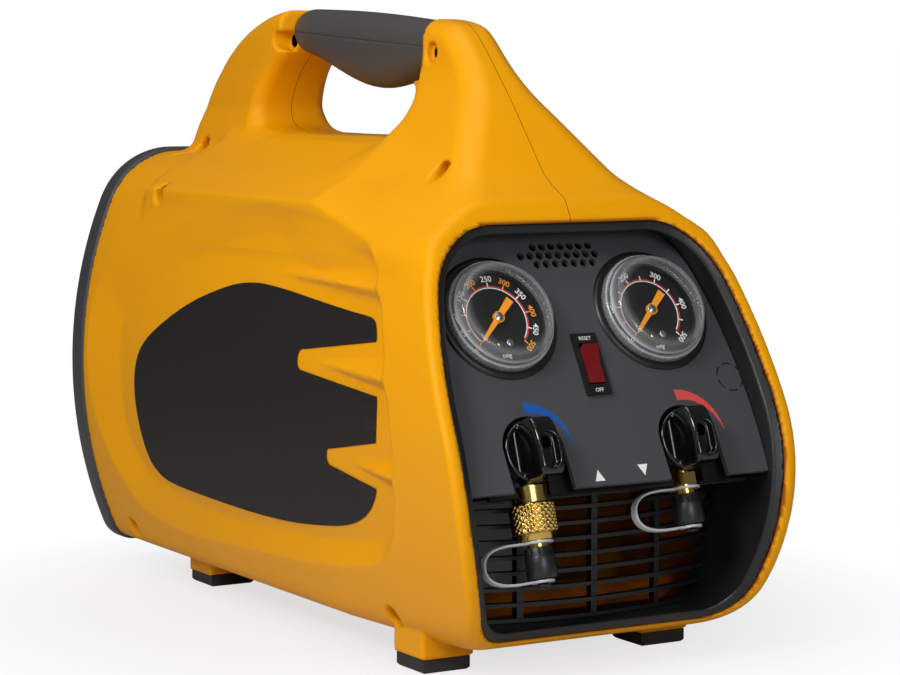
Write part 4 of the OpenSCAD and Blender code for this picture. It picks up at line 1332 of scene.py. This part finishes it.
@dataclass
class Grip:
    """The rubber sleeve of the handle, in two halves.

    Attributes:
        stations: Rings along the handle.
        steps: Points along half a ring.
        core_r: Radius of the handle's core.
        seam: Angle that each edge stays clear of the seam.
        start_y: Y of the front end.
        length: Length along Y.
        start_z: Height of the axis at the front end.
        climb: How much higher it is at the rear end.
    """

    stations: int = 72
    steps: int = 40
    core_r: float = 11.2
    seam: float = 0.006
    start_y: float = -55.6
    length: float = 175.2
    start_z: float = 359.0
    climb: float = 12.0

    def faces(self) -> Array:
        """Quads round each ring of a half, and over its two ends.

        Returns:
            Rows of point numbers.
        """
        around = 2 * self.steps
        end = np.arange(self.steps - 1)
        cap = np.stack([end, end + 1, around - 2 - end, around - 1 - end], 1)
        walls = grid_faces(self.stations, around, wrap_columns=True)
        return np.concatenate([walls, cap, cap[:, ::-1] + (self.stations - 1) * around])

    def add(self, looks: Looks) -> list[Piece]:
        """Adds both halves: half ellipses carried along the handle, swelling at the fingers.

        Args:
            looks: Materials.

        Returns:
            The pieces.
        """
        t = np.linspace(0, 1, self.stations)[:, None]
        swell = np.sin(np.pi * t)
        collar = 1 - 0.9 * np.exp(-((np.minimum(t, 1 - t) / 0.012) ** 2)) * 0.08
        y, axis_z = self.start_y + self.length * t, self.start_z + self.climb * t
        width = (16.6 + 1.4 * swell**0.7) * collar
        fingers = np.sin(np.pi * t**0.92) ** 1.6
        halves = {"grip_upper": (0.0, 15.2 + 1.8 * swell), "grip_lower": (math.pi, 15.0 + 16.0 * fingers)}
        pieces = []
        for name, (start, reach) in halves.items():
            angle = np.linspace(start + self.seam, start + math.pi - self.seam, self.steps)[None, :]
            back = angle[:, ::-1]
            outer = np.broadcast_arrays(width * np.cos(angle), y, axis_z + reach * collar * np.sin(angle))
            core_x, core_z = self.core_r * np.cos(back) + 0 * t, axis_z + self.core_r * np.sin(back)
            inner = np.broadcast_arrays(core_x, y, core_z)
            points = np.concatenate([np.stack(outer, -1), np.stack(inner, -1)], 1).reshape(-1, 3)
            piece = add_mesh(f"{name}_rubber", points, self.faces(), looks.grip)
            pieces.append(place(piece, "housing", "grip_rubber", name))
        return pieces


# The instrument front


def ring_band(
    inner: float | Array, outer: float | Array, start: float, end: float, height: float, count: int = 96
) -> Mesh:
    """A flat band between two radii and two angles in degrees, counted from u towards v.

    Args:
        inner: Inner radius, or one for each place.
        outer: Outer radius, or one for each place.
        start: First angle.
        end: Last angle.
        height: Height off the face.
        count: Places along the band.

    Returns:
        Points and quads.
    """
    angle = np.radians(np.linspace(start, end, count))
    cos, sin, flat = np.cos(angle), np.sin(angle), np.full(count, height)
    rows = [np.stack([radius * cos, radius * sin, flat], 1) for radius in (inner, outer)]
    return np.concatenate(rows), grid_faces(2, count)


def lettering(words: str, size: float, weight: float = 0.02) -> Print:
    """Flat letters centred on the local origin.

    Args:
        words: What they say.
        size: Size of the type.
        weight: How much bolder than plain, as a share of the size.

    Returns:
        Points and faces.
    """
    curve = bpy.data.curves.new("letters", "FONT")
    curve.body, curve.size, curve.offset = words, size, weight * size
    curve.align_x, curve.align_y = "CENTER", "CENTER"
    holder = bpy.data.objects.new("letters", curve)
    bpy.context.scene.collection.objects.link(holder)
    bpy.context.view_layer.update()
    mesh = bpy.data.meshes.new_from_object(holder.evaluated_get(bpy.context.evaluated_depsgraph_get()))
    points = np.zeros(len(mesh.vertices) * 3)
    mesh.vertices.foreach_get("co", points)
    faces = [list(polygon.vertices) for polygon in mesh.polygons]
    bpy.data.objects.remove(holder)
    bpy.data.meshes.remove(mesh)
    bpy.data.curves.remove(curve)
    return points.reshape(-1, 3), faces


def add_print(name: str, axes: Axes, parts: Sequence[Print], material: Material, slot: str) -> Piece:
    """Adds flat print on a face, as one piece.

    Args:
        name: Piece name.
        axes: Frame of the face.
        parts: Sets of local points and faces.
        material: Ink.
        slot: Material slot of the face's node.

    Returns:
        The piece.
    """
    points, faces, used = [], [], 0
    for some, polygons in parts:
        points.append(np.asarray(some, float))
        faces.extend([int(i) + used for i in polygon] for polygon in polygons)
        used += len(some)
    mesh = bpy.data.meshes.new(name)
    mesh.from_pydata((axes.world(np.concatenate(points)) * MM).tolist(), [], faces)
    mesh.materials.append(material)
    piece = bpy.data.objects.new(name, mesh)
    bpy.context.scene.collection.objects.link(piece)
    return place(piece, "housing", slot)


def turned(points: Array, radius: float, angle: float, height: float) -> Array:
    """Moves flat letters out to a radius, upright along it.

    Args:
        points: Points of the letters.
        radius: Where their middle goes.
        angle: Direction of the radius, in degrees.
        height: Height off the face.

    Returns:
        The moved points.
    """
    lean, turn = math.radians(angle - 90), math.radians(angle)
    spin = np.array([[math.cos(lean), math.sin(lean)], [-math.sin(lean), math.cos(lean)]])
    flat = points[:, :2] @ spin + radius * np.array([math.cos(turn), math.sin(turn)])
    return np.column_stack([flat, np.full(len(points), height)])


@dataclass
class Gauge:
    """One gauge's print, turned pieces and clear lens.

    Attributes:
        side: Which gauge it is.
        face: Height of the dial's face.
        start: Angle where the scale starts, in degrees.
        pitch: Degrees from one number to the next.
        half_tick: Half a tick's width, in degrees.
        segments: Points round the lens.
        ribs: Ribs round its rim.
        rib_depth: Their depth.
        rib_span: Heights between which they run.
        rings: Radius, height, veil and tone of each ring of the lens; the bright rings are painted
            highlights.
    """

    side: Side
    face: float = -0.82
    start: float = 225.0
    pitch: float = 27.0
    half_tick: float = 1.1
    segments: int = 360
    ribs: int = 90
    rib_depth: float = 0.22
    rib_span: tuple[float, float] = (0.9, 5.6)
    # The pale rings at the flange's top edge, its inner step and the dome's shoulder are painted highlights
    # that stand for reflections; the lower flange rings give the ribbed flange its own darker look.
    rings: Points = (
        (30.0, 1.0, 0.7, 0.2), (33.4, 0.6, 0.7, 0.2), (33.5, 1.0, 0.7, 0.3), (33.5, 5.2, 0.7, 0.3),
        (33.1, 5.9, 0.8, 0.7), (32.2, 6.4, 0.55, 0.3), (31.4, 6.8, 0.3, 0.2), (30.9, 7.6, 0.75, 0.9),
        (30.5, 10.5, 0.5, 0.5), (29.6, 12.6, 0.35, 0.35), (28.0, 13.9, 0.3, 0.6), (26.0, 14.6, 0.1, 0.9),
        (23.0, 15.0, 0.02, 0.9), (16.0, 15.5, 0.01, 0.9), (8.0, 15.8, 0.01, 0.9), (0.01, 15.9, 0.01, 0.9),
    )

    def __post_init__(self) -> None:
        """Takes the gauge's frame and name from its side."""
        self.axes, self.word = gauge_axes(self.side), self.side.word

    def add_scale(self, looks: Looks) -> list[Piece]:
        """Adds the dial's print: numbers, ticks and unit, a white line and a red band.

        Args:
            looks: Materials.

        Returns:
            The pieces, one for each ink.
        """
        face, start = self.face, self.start
        white: list[Print] = []
        orange: list[Print] = []
        for step, value in enumerate(range(0, 501, 50)):
            angle, even = start - self.pitch * step, step % 2 == 0
            ink = orange if even and self.side is Side.INLET else white
            if even or self.side is Side.INLET:
                points, faces = lettering(str(value), 4.9)
                ink.append((turned(points, 24.8, angle, face), faces))
            ink.append(ring_band(20.0, 22.6, angle - self.half_tick, angle + self.half_tick, face, 3))
        white.append(ring_band(19.0, 19.7, start, -40, face))
        points, faces = lettering("psig", 4.0)
        white.append((points * [1, 1, 0] + [0, -22.8, face], faces))
        red = [ring_band(20.0, 20.8, start, -45, face - 0.02)]
        inks = (("white", white, looks.white), ("orange", orange, looks.orange), ("red", red, looks.red))
        return [
            add_print(f"{self.word}_dial_{name}", self.axes, parts, material, "dial_black")
            for name, parts, material in inks
            if parts
        ]

    def add_turned(self, name: str, at: Place, profile: Points, segments: int, material: Material) -> Piece:
        """Adds a piece turned from a profile of radius and height, at a place in the gauge's frame.

        Args:
            name: Piece name, less the side.
            at: Place of its axis.
            profile: Radius and height of each ring.
            segments: Points round a ring.
            material: Material.

        Returns:
            The piece.
        """
        points, faces = lathe(profile, segments)
        return add_mesh(f"{self.word}_{name}", self.axes.world(points + np.array(at)), faces, material)

    def add_metal(self, looks: Looks) -> list[Piece]:
        """Adds the pointer's hub, the dial's screw and pin, and the lip of the gauge's case.

        Args:
            looks: Materials.

        Returns:
            The pieces.
        """
        middle = (0.0, 0.0, 0.0)
        hub = [(0, 3.2), (1.2, 3.1), (1.6, 2.8), (2.6, 2.6), (2.9, 2.4), (2.9, 2.2)]
        screw = [(0, 0.5), (1.9, 0.4), (2.3, 0), (2.3, -1)]
        pin = [(0, 0.7), (1.0, 0.5), (1.3, 0), (1.3, -1)]
        lip = [(34.0, 0.1), (34.2, 1.6), (34.8, 2.0), (36.6, 1.9), (37.6, 1.2), (38.2, 0.05)]
        hub_piece = self.add_turned("pointer_hub", middle, hub, 40, looks.steel)
        screw_piece = self.add_turned("dial_screw", (4.6, -15.0, -0.9), screw, 32, looks.steel)
        pin_piece = self.add_turned("dial_pin", (-3.2, -16.0, -0.9), pin, 24, looks.brass)
        lip_piece = self.add_turned("gauge_lip", middle, lip, 128, looks.black)
        return [
            place(hub_piece, f"{self.word}_needle", "steel"),
            place(screw_piece, "housing", "steel"),
            place(pin_piece, "housing", "brass"),
            place(lip_piece, "housing", "gauge_black"),
        ]

    def ribbed(self, angle: Array, height: Array) -> Array:
        """Ribs of the lens's rim: a square wave round it, between two heights."""
        within = (height > self.rib_span[0]) & (height < self.rib_span[1])
        return self.rib_depth * np.sign(np.sin(self.ribs * angle)) * within

    def add_lens(self, looks: Looks) -> Piece:
        """Adds the lens, turned from its rings; each ring has its own veil and tone, and the brighter rings
        are painted highlights.

        Args:
            looks: Materials.

        Returns:
            The piece.
        """
        rings = np.array(self.rings)
        points, faces = lathe(rings[:, :2], self.segments, self.ribbed)
        lens = add_mesh(f"{self.word}_lens_clear", self.axes.world(points), faces, looks.lens)
        # Veil and tone by ring; the bright rings paint highlights on the lens's edges.
        set_attribute(lens, "veil", np.repeat(rings[:, 2], self.segments))
        set_attribute(lens, "tone", np.repeat(rings[:, 3], self.segments))
        return place(lens, "housing", "lens_clear", f"{self.word}_lens")

    def add(self, looks: Looks) -> list[Piece]:
        """Adds the whole gauge."""
        return [*self.add_scale(looks), *self.add_metal(looks), self.add_lens(looks)]


@dataclass
class Knob:
    """One valve knob: a dished disc with a peaked bar across it and an oval recess in the bar.

    Attributes:
        side: Whose valve it turns.
        disc_r: Radius of the disc.
        dish_r: Radius of the dish in it.
        half_w: Half width of the bar.
        step: Grid spacing.
        line: Side outline of the bar, as v and n.
    """

    side: Side
    disc_r: float = 18.0
    dish_r: float = 15.6
    half_w: float = 7.6
    step: float = 0.5
    line: Points = (
        (-16.4, 6), (15.8, 6), (17.6, 20.5), (16.6, 25.2), (6, 30.6), (-11, 31.3), (-15.4, 29.8), (-17.2, 24),
    )

    def __post_init__(self) -> None:
        """Draws the bar's outline."""
        self.bar = Outline(cut_corners(self.line, 2, 0.2), 0.5, 14)

    def field(self, u: Array, v: Array, n: Array) -> Array:
        """Distance to the knob: the disc less its dish, filleted to the bar, less the oval and a screw hole.

        Args:
            u: Places across.
            v: Places up the port axis.
            n: Places along the knob axis.

        Returns:
            Distance at each place, negative inside.
        """
        radial = np.hypot(u, v)
        disc = round_and(radial - self.disc_r, np.abs(n - 9.0) - 3.6, 1.2)
        disc = np.maximum(disc, -round_and(radial - self.dish_r, 8.6 - n, 1.5))
        grip = round_and(self.bar(v, n), np.abs(u) - self.half_w, 2.4)
        form = round_or(disc, grip, 1.6)
        oval = np.hypot(u, np.maximum(np.abs(v + 2.6) - 5.2, 0)) - 5.1
        form = round_and(form, -np.maximum(oval, 26.2 - n), 0.7)
        return np.maximum(form, -np.maximum(np.hypot(u, v - 2.2) - 3.5, 15.0 - n))

    def add(self, looks: Looks) -> list[Piece]:
        """Adds the knob.

        Args:
            looks: Materials.

        Returns:
            The piece.
        """
        points, quads = net_of(self.field, (-19.0, -19.0, 4.6), (19.0, 19.0, 33.0), self.step)
        name = f"{self.side.word}_knob"
        piece = add_mesh(f"{name}_grip", valve_axes(self.side).world(points), quads, looks.gloss)
        return [place(piece, name, "knob_black", name)]


@dataclass
class PanelPrint:
    """Print on the instrument panel: an arc over each knob, two arrows and switch words, and a dashed circle
    of painted shade for the knock-out's grooves.

    Attributes:
        lift: Height of the ink off the panel.
        word_lift: Height of the switch words.
        sweep: Angle of an arc, in degrees.
        count: Places along an arc.
    """

    lift: float = 0.08
    word_lift: float = 2.42
    sweep: float = 88.0
    count: int = 48

    def add_arcs(self, looks: Looks) -> list[Piece]:
        """Adds the arcs: bands that taper along their length.

        Args:
            looks: Materials.

        Returns:
            The pieces.
        """
        share = np.linspace(0, 1, self.count)
        inner, outer = 22.0 + 2.6 * share, 29.0 - 4.0 * share
        arcs = ((Side.INLET, looks.blue, 92.0, -81), (Side.OUTLET, looks.red_arc, 94.0, -79.6))
        pieces = []
        for side, material, start, v in arcs:
            points, faces = ring_band(inner, outer, start, start - self.sweep, self.lift, self.count)
            parts = [(points + [side.value * GAUGE_X + 1.4, v, 0], faces[:, ::-1])]
            pieces.append(add_print(f"{side.word}_arc", PANEL, parts, material, "panel_charcoal"))
        return pieces

    def add(self, looks: Looks) -> list[Piece]:
        """Adds all of the print, and the knock-out's dashes of painted groove shade.

        Args:
            looks: Materials.

        Returns:
            The pieces.
        """
        lift = self.lift
        arrows = [
            (np.array([(-18.6, -102.4, lift), (-12.0, -102.4, lift), (-15.3, -95.6, lift)]), [[0, 1, 2]]),
            (np.array([(12.0, -94.6, lift), (15.3, -101.4, lift), (18.8, -94.6, lift)]), [[0, 1, 2]]),
        ]
        letters = []
        for word, v in (("RESET", -16.4), ("OFF", -48.6)):
            points, faces = lettering(word, 3.2, 0.0)
            letters.append((points * [1, 1, 0] + [0, v, self.word_lift], faces))
        # The knock-out's grooves are drawn as flat dark dashes: painted shade where the grooves would hold
        # shadow.
        painted_groove_shade = []
        for start in range(0, 360, 60):
            points, faces = ring_band(8.2, 9.0, start + 9, start + 51, lift, 16)
            painted_groove_shade.append((points + [94.0, -45.1, 0], faces[:, ::-1]))
        return [
            *self.add_arcs(looks),
            add_print("panel_arrows", PANEL, arrows, looks.white, "panel_charcoal"),
            add_print("switch_words", PANEL, letters, looks.white, "gauge_black"),
            add_print("knock_out_painted_shade", PANEL, painted_groove_shade, looks.black, "panel_charcoal"),
        ]


# The ports


def along_port(points: Array) -> Array:
    """Turns lathe points so that height runs down the port axis."""
    return np.column_stack([points[:, 0], -points[:, 2], points[:, 1]])


def signed_power(value: Array, power: float) -> Array:
    """A power of the size that keeps the sign."""
    return np.sign(value) * np.abs(value) ** power


@dataclass
class Coupling:
    """The brass coupling on the inlet port.

    Attributes:
        top: Where it starts along the port.
        radius: Radius of its grip.
        starts: Grooves round each way of the knurl.
        pitch: Turn of a groove along the port.
        segments: Points round it.
    """

    top: float = 28.2
    radius: float = 12.6
    starts: int = 10
    pitch: float = 0.86
    segments: int = 420

    def knurl(self, angle: Array, height: Array) -> Array:
        """Height of the knurl: the lesser of two crossing sets of waves, between the grip's ends.

        Args:
            angle: Angles round the port.
            height: Places along it.

        Returns:
            What is added to the radius.
        """
        left = self.starts * angle + self.pitch * height
        right = self.starts * angle - self.pitch * height
        ridge = np.minimum(np.abs(np.sin(left)), np.abs(np.sin(right)))
        return (ridge**0.8 - 0.35) * ((height > self.top + 0.9) & (height < self.top + 16.3))

    def add(self, looks: Looks) -> list[Piece]:
        """Adds the coupling, turned from its profile.

        Args:
            looks: Materials.

        Returns:
            The piece.
        """
        upper = [(6.4, 0), (11.6, 0), (self.radius, 0.8)]
        grip = [(self.radius, height) for height in np.linspace(1.2, 16.0, 75)]
        lower = [(self.radius, 16.4), (11.4, 17.2), (9.7, 17.3), (9.7, 20.4), (9.2, 20.8), (6.4, 20.8)]
        points, faces = lathe(np.array(upper + grip + lower) + [0, self.top], self.segments, self.knurl)
        points = valve_axes(Side.INLET).world(along_port(points))
        piece = add_mesh("inlet_coupling_knurl", points, faces, looks.brass)
        return [place(piece, "housing", "brass", "inlet_coupling")]


@dataclass
class Port:
    """One port's cap, and the clear strap that holds it.

    Attributes:
        side: Whose port it is.
        neck: Where the strap's upper eyelet is along the port.
        top: Where the cap starts.
        cap_length: Length of the cap, less its stud.
        strap_gap: How far below the cap the lower eyelet is.
        reach: How far the strap reaches from the port axis.
        thick: Thickness of the strap.
        half_w: Half width of its ribbon.
        half_t: Half thickness of its ribbon.
        stations: Rings along the ribbon.
        steps: Points round a ring.
    """

    side: Side
    neck: float
    top: float
    cap_length: float = 17.6
    strap_gap: float = 0.6
    reach: float = 38.0
    thick: float = 1.8
    half_w: float = 2.9
    half_t: float = 0.8
    stations: int = 90
    steps: int = 16

    def __post_init__(self) -> None:
        """Takes the port's frame from its side and works out where the cap and strap end."""
        self.axes = valve_axes(self.side)
        self.cap_end = self.top + self.cap_length
        self.low = self.cap_end + self.strap_gap

    def slots(self, angle: Array, height: Array) -> Array:
        """Slots of the cap's collar: narrow cuts round it, between two heights."""
        within = (height > self.top + 0.2) & (height < self.top + 4.5)
        return -0.35 * (np.abs(np.sin(4 * angle)) > 0.93) * within

    def add_cap(self, looks: Looks) -> Piece:
        """Adds the cap, turned from its profile, with the stud that the strap hangs on.

        Args:
            looks: Materials.

        Returns:
            The piece.
        """
        top, end = self.top, self.cap_end
        profile = [
            (6.6, top), (7.6, top), (7.9, top + 0.4), (7.9, top + 4.2), (8.5, top + 4.8), (8.75, top + 6.0),
            (8.7, end - 1.2), (8.0, end - 0.2), (7.2, end), (3, end), (3, end + 3.2), (4, end + 3.3),
            (4, end + 4.0), (3.4, end + 4.4), (0.01, end + 4.4),
        ]
        points, faces = lathe(profile, 96, self.slots)
        name = f"{self.side.word}_cap"
        piece = add_mesh(f"{name}_rubber", self.axes.world(along_port(points)), faces, looks.cap)
        return place(piece, name, "cap_black", name)

    def ribbon(self) -> Mesh:
        """The strap's ribbon, a flat oval carried along its middle line.

        The line runs out from the upper eyelet, round a drooping arc and back to the lower one.

        Returns:
            Points and quads.
        """
        t = np.linspace(0, 1, self.stations)
        turn = math.pi * (t - 0.5)
        bow = np.clip(np.cos(turn), 0, 1) ** 0.55
        fall = 0.5 + 0.5 * signed_power(np.sin(turn), 0.9)
        u = -7.4 - (self.reach - 8.4) * bow - (1 - t) * 0.6
        v = -(self.neck + self.thick / 2) - (self.low - self.neck) * fall - 1.6 * bow * t
        line = np.stack([u, v], 1)
        tangent = np.gradient(line, axis=0)
        tangent /= np.linalg.norm(tangent, axis=1)[:, None]
        normal = np.stack([-tangent[:, 1], tangent[:, 0]], 1)
        around = np.linspace(0, 2 * math.pi, self.steps, endpoint=False)
        offset = self.half_t * signed_power(np.sin(around), 0.6)
        across = self.half_w * signed_power(np.cos(around), 0.6)
        flat = line[:, None, :] + normal[:, None, :] * offset[None, :, None]
        wide = np.broadcast_to(across[None, :, None], (self.stations, self.steps, 1))
        points = np.concatenate([flat, wide], 2).reshape(-1, 3)
        return points, grid_faces(self.stations, self.steps, wrap_columns=True)

    def add_strap(self, looks: Looks) -> Piece:
        """Adds the strap: two turned eyelets and the ribbon between them.

        Args:
            looks: Materials.

        Returns:
            The piece.
        """
        side, axes, neck, low = self.side, self.axes, self.neck, self.low
        parts = [self.ribbon()]
        for inner, outer, top in ((6.5, 9.3, neck), (3.3, 6.6, low)):
            profile = [
                (inner, top + 0.1), (outer - 0.3, top + 0.1), (outer, top + 0.4), (outer, top + 1.4),
                (outer - 0.3, top + 1.7), (inner, top + 1.7), (inner, top + 0.1),
            ]
            points, faces = lathe(profile, 64)
            parts.append((along_port(points), faces))
        points, faces = merged(parts)
        strap = add_mesh(f"{side.word}_strap_clear", axes.world(points), faces, looks.strap)
        set_attribute(strap, "veil", np.full(len(points), 0.62))
        set_attribute(strap, "tone", np.full(len(points), 0.9))
        ends = axes.world(np.array([[0, -neck - 3, 0], [0, -low + 1, 0]])) * MM
        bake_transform(strap)
        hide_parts(f"{side.word}_strap")
        return strap

    def add(self, looks: Looks) -> list[Piece]:
        """Adds the cap and the strap."""
        return [self.add_cap(looks), self.add_strap(looks)]


# The studio, in metres


@dataclass(frozen=True)
class Lamp:
    """One soft panel of light.

    Attributes:
        name: Its name.
        at: Where it stands.
        aim: The point that it looks at.
        size: Width and height.
        power: Watts.
    """

    name: str
    at: Place
    aim: Place
    size: tuple[float, float]
    power: float

    def add(self) -> None:
        """Adds the light to the scene."""
        data = bpy.data.lights.new(self.name, "AREA")
        data.shape, data.energy = "RECTANGLE", self.power
        data.size, data.size_y = self.size
        lamp = bpy.data.objects.new(self.name, data)
        lamp.location = self.at
        lamp.rotation_mode = "QUATERNION"
        lamp.rotation_quaternion = (Vector(self.aim) - Vector(self.at)).to_track_quat("-Z", "Y")
        bpy.context.scene.collection.objects.link(lamp)


@dataclass
class Studio:
    """The camera, a pale floor, a white surround and soft lights.

    Attributes:
        lens: Focal length of the camera, in millimetres.
        at: Where the camera stands.
        back: Direction from what it looks at to the camera.
        half_floor: Half side of the floor.
        drop: How far the floor lies below the feet.
        light: Strength of the surround as a light.
        lamps: The lights.
    """

    lens: float = 106.8
    at: Place = (-0.8402, -1.4833, 0.3353)
    back: Place = (-0.5059, -0.8575, 0.0941)
    half_floor: float = 8.0
    drop: float = 0.0002
    light: float = 0.12
    lamps: tuple[Lamp, ...] = (
        Lamp("key", (-0.9, -0.55, 0.8), (-0.1, -0.12, 0.15), (0.35, 0.35), 8.6),
        Lamp("front", (-0.25, -2.0, 0.7), (0.0, -0.2, 0.13), (0.7, 0.6), 10.0),
        Lamp("top", (-0.4, 0.0, 2.0), (0.0, 0.0, 0.2), (1.2, 1.2), 12.0),
    )

    def add_camera(self) -> None:
        """Sets the camera where the photograph was taken from."""
        camera = bpy.data.objects.new("camera", bpy.data.cameras.new("camera"))
        camera.data.sensor_width, camera.data.lens = 36.0, self.lens
        camera.data.clip_start, camera.data.clip_end = 0.05, 50.0
        camera.rotation_mode = "QUATERNION"
        camera.rotation_quaternion = (-Vector(self.back).normalized()).to_track_quat("-Z", "Y")
        camera.location = self.at
        bpy.context.scene.collection.objects.link(camera)
        bpy.context.scene.camera = camera

    def floor_material(self) -> Material:
        """Pale floor that turns to the backdrop's white away from the machine, for the camera only.

        Returns:
            The material.
        """
        graph = Graph("floor")
        away = graph.node("ShaderNodeVectorMath", {"operation": "LENGTH"}, {0: graph.place()}, output="Value")
        soft, fade = {"interpolation_type": "SMOOTHSTEP"}, {0: away, 1: 0.12, 2: 0.4, 3: 0.7, 4: 1.0}
        far = graph.node("ShaderNodeMapRange", soft, fade)
        pale = graph.node("ShaderNodeBsdfDiffuse", inputs={"Color": srgb(216, 216, 216)})
        white = graph.node("ShaderNodeEmission", inputs={"Color": WHITE, "Strength": 1.0})
        share = far * graph.camera_sees()
        return graph.close(graph.node("ShaderNodeMixShader", inputs={0: share, 1: pale, 2: white}))

    def add(self) -> None:
        """Adds the camera, surround, floor and lights, and sets plain colour."""
        self.add_camera()
        scene = bpy.context.scene
        scene.view_settings.view_transform = "Standard"
        sky = Graph("surround", world=True)
        glow = self.light + (1 - self.light) * sky.camera_sees()
        scene.world = sky.close(sky.node("ShaderNodeBackground", inputs={"Color": WHITE, "Strength": glow}))
        half = self.half_floor
        mesh = bpy.data.meshes.new("floor")
        edge = [(-half, -half, 0), (half, -half, 0), (half, half, 0), (-half, half, 0)]
        mesh.from_pydata(edge, [], [(0, 1, 2, 3)])
        mesh.materials.append(self.floor_material())
        floor = bpy.data.objects.new("floor", mesh)
        floor.location.z = -self.drop
        scene.collection.objects.link(floor)
        for lamp in self.lamps:
            lamp.add()


def corners(pair: tuple[Vector, Vector]) -> list[list[float]]:
    """Two corners as plain lists."""
    return [list(pair[0]), list(pair[1])]


def main() -> None:
    """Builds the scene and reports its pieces."""
    logging.basicConfig(level=logging.INFO)
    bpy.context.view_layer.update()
    looks = Looks()
    looks.dress()
    Studio().add()
    case = Case()
    pieces = [*case.add(looks), *Label(case).add(looks), *case.add_front_ring(looks)]
    pieces += [*RearRing(case).add(looks), *Grip().add(looks)]
    for side in Side:
        pieces += [*Gauge(side).add(looks), *Knob(side).add(looks)]
    pieces += PanelPrint().add(looks)
    pieces += Coupling().add(looks)
    pieces += [*Port(Side.INLET, 49.3, 52.8).add(looks), *Port(Side.OUTLET, 26.5, 30.8).add(looks)]
    for piece in pieces:
        LOG.info("%s: %d faces", piece.name, len(piece.data.polygons))
    bpy.context.view_layer.update()


if __name__ == "__main__":
    main()
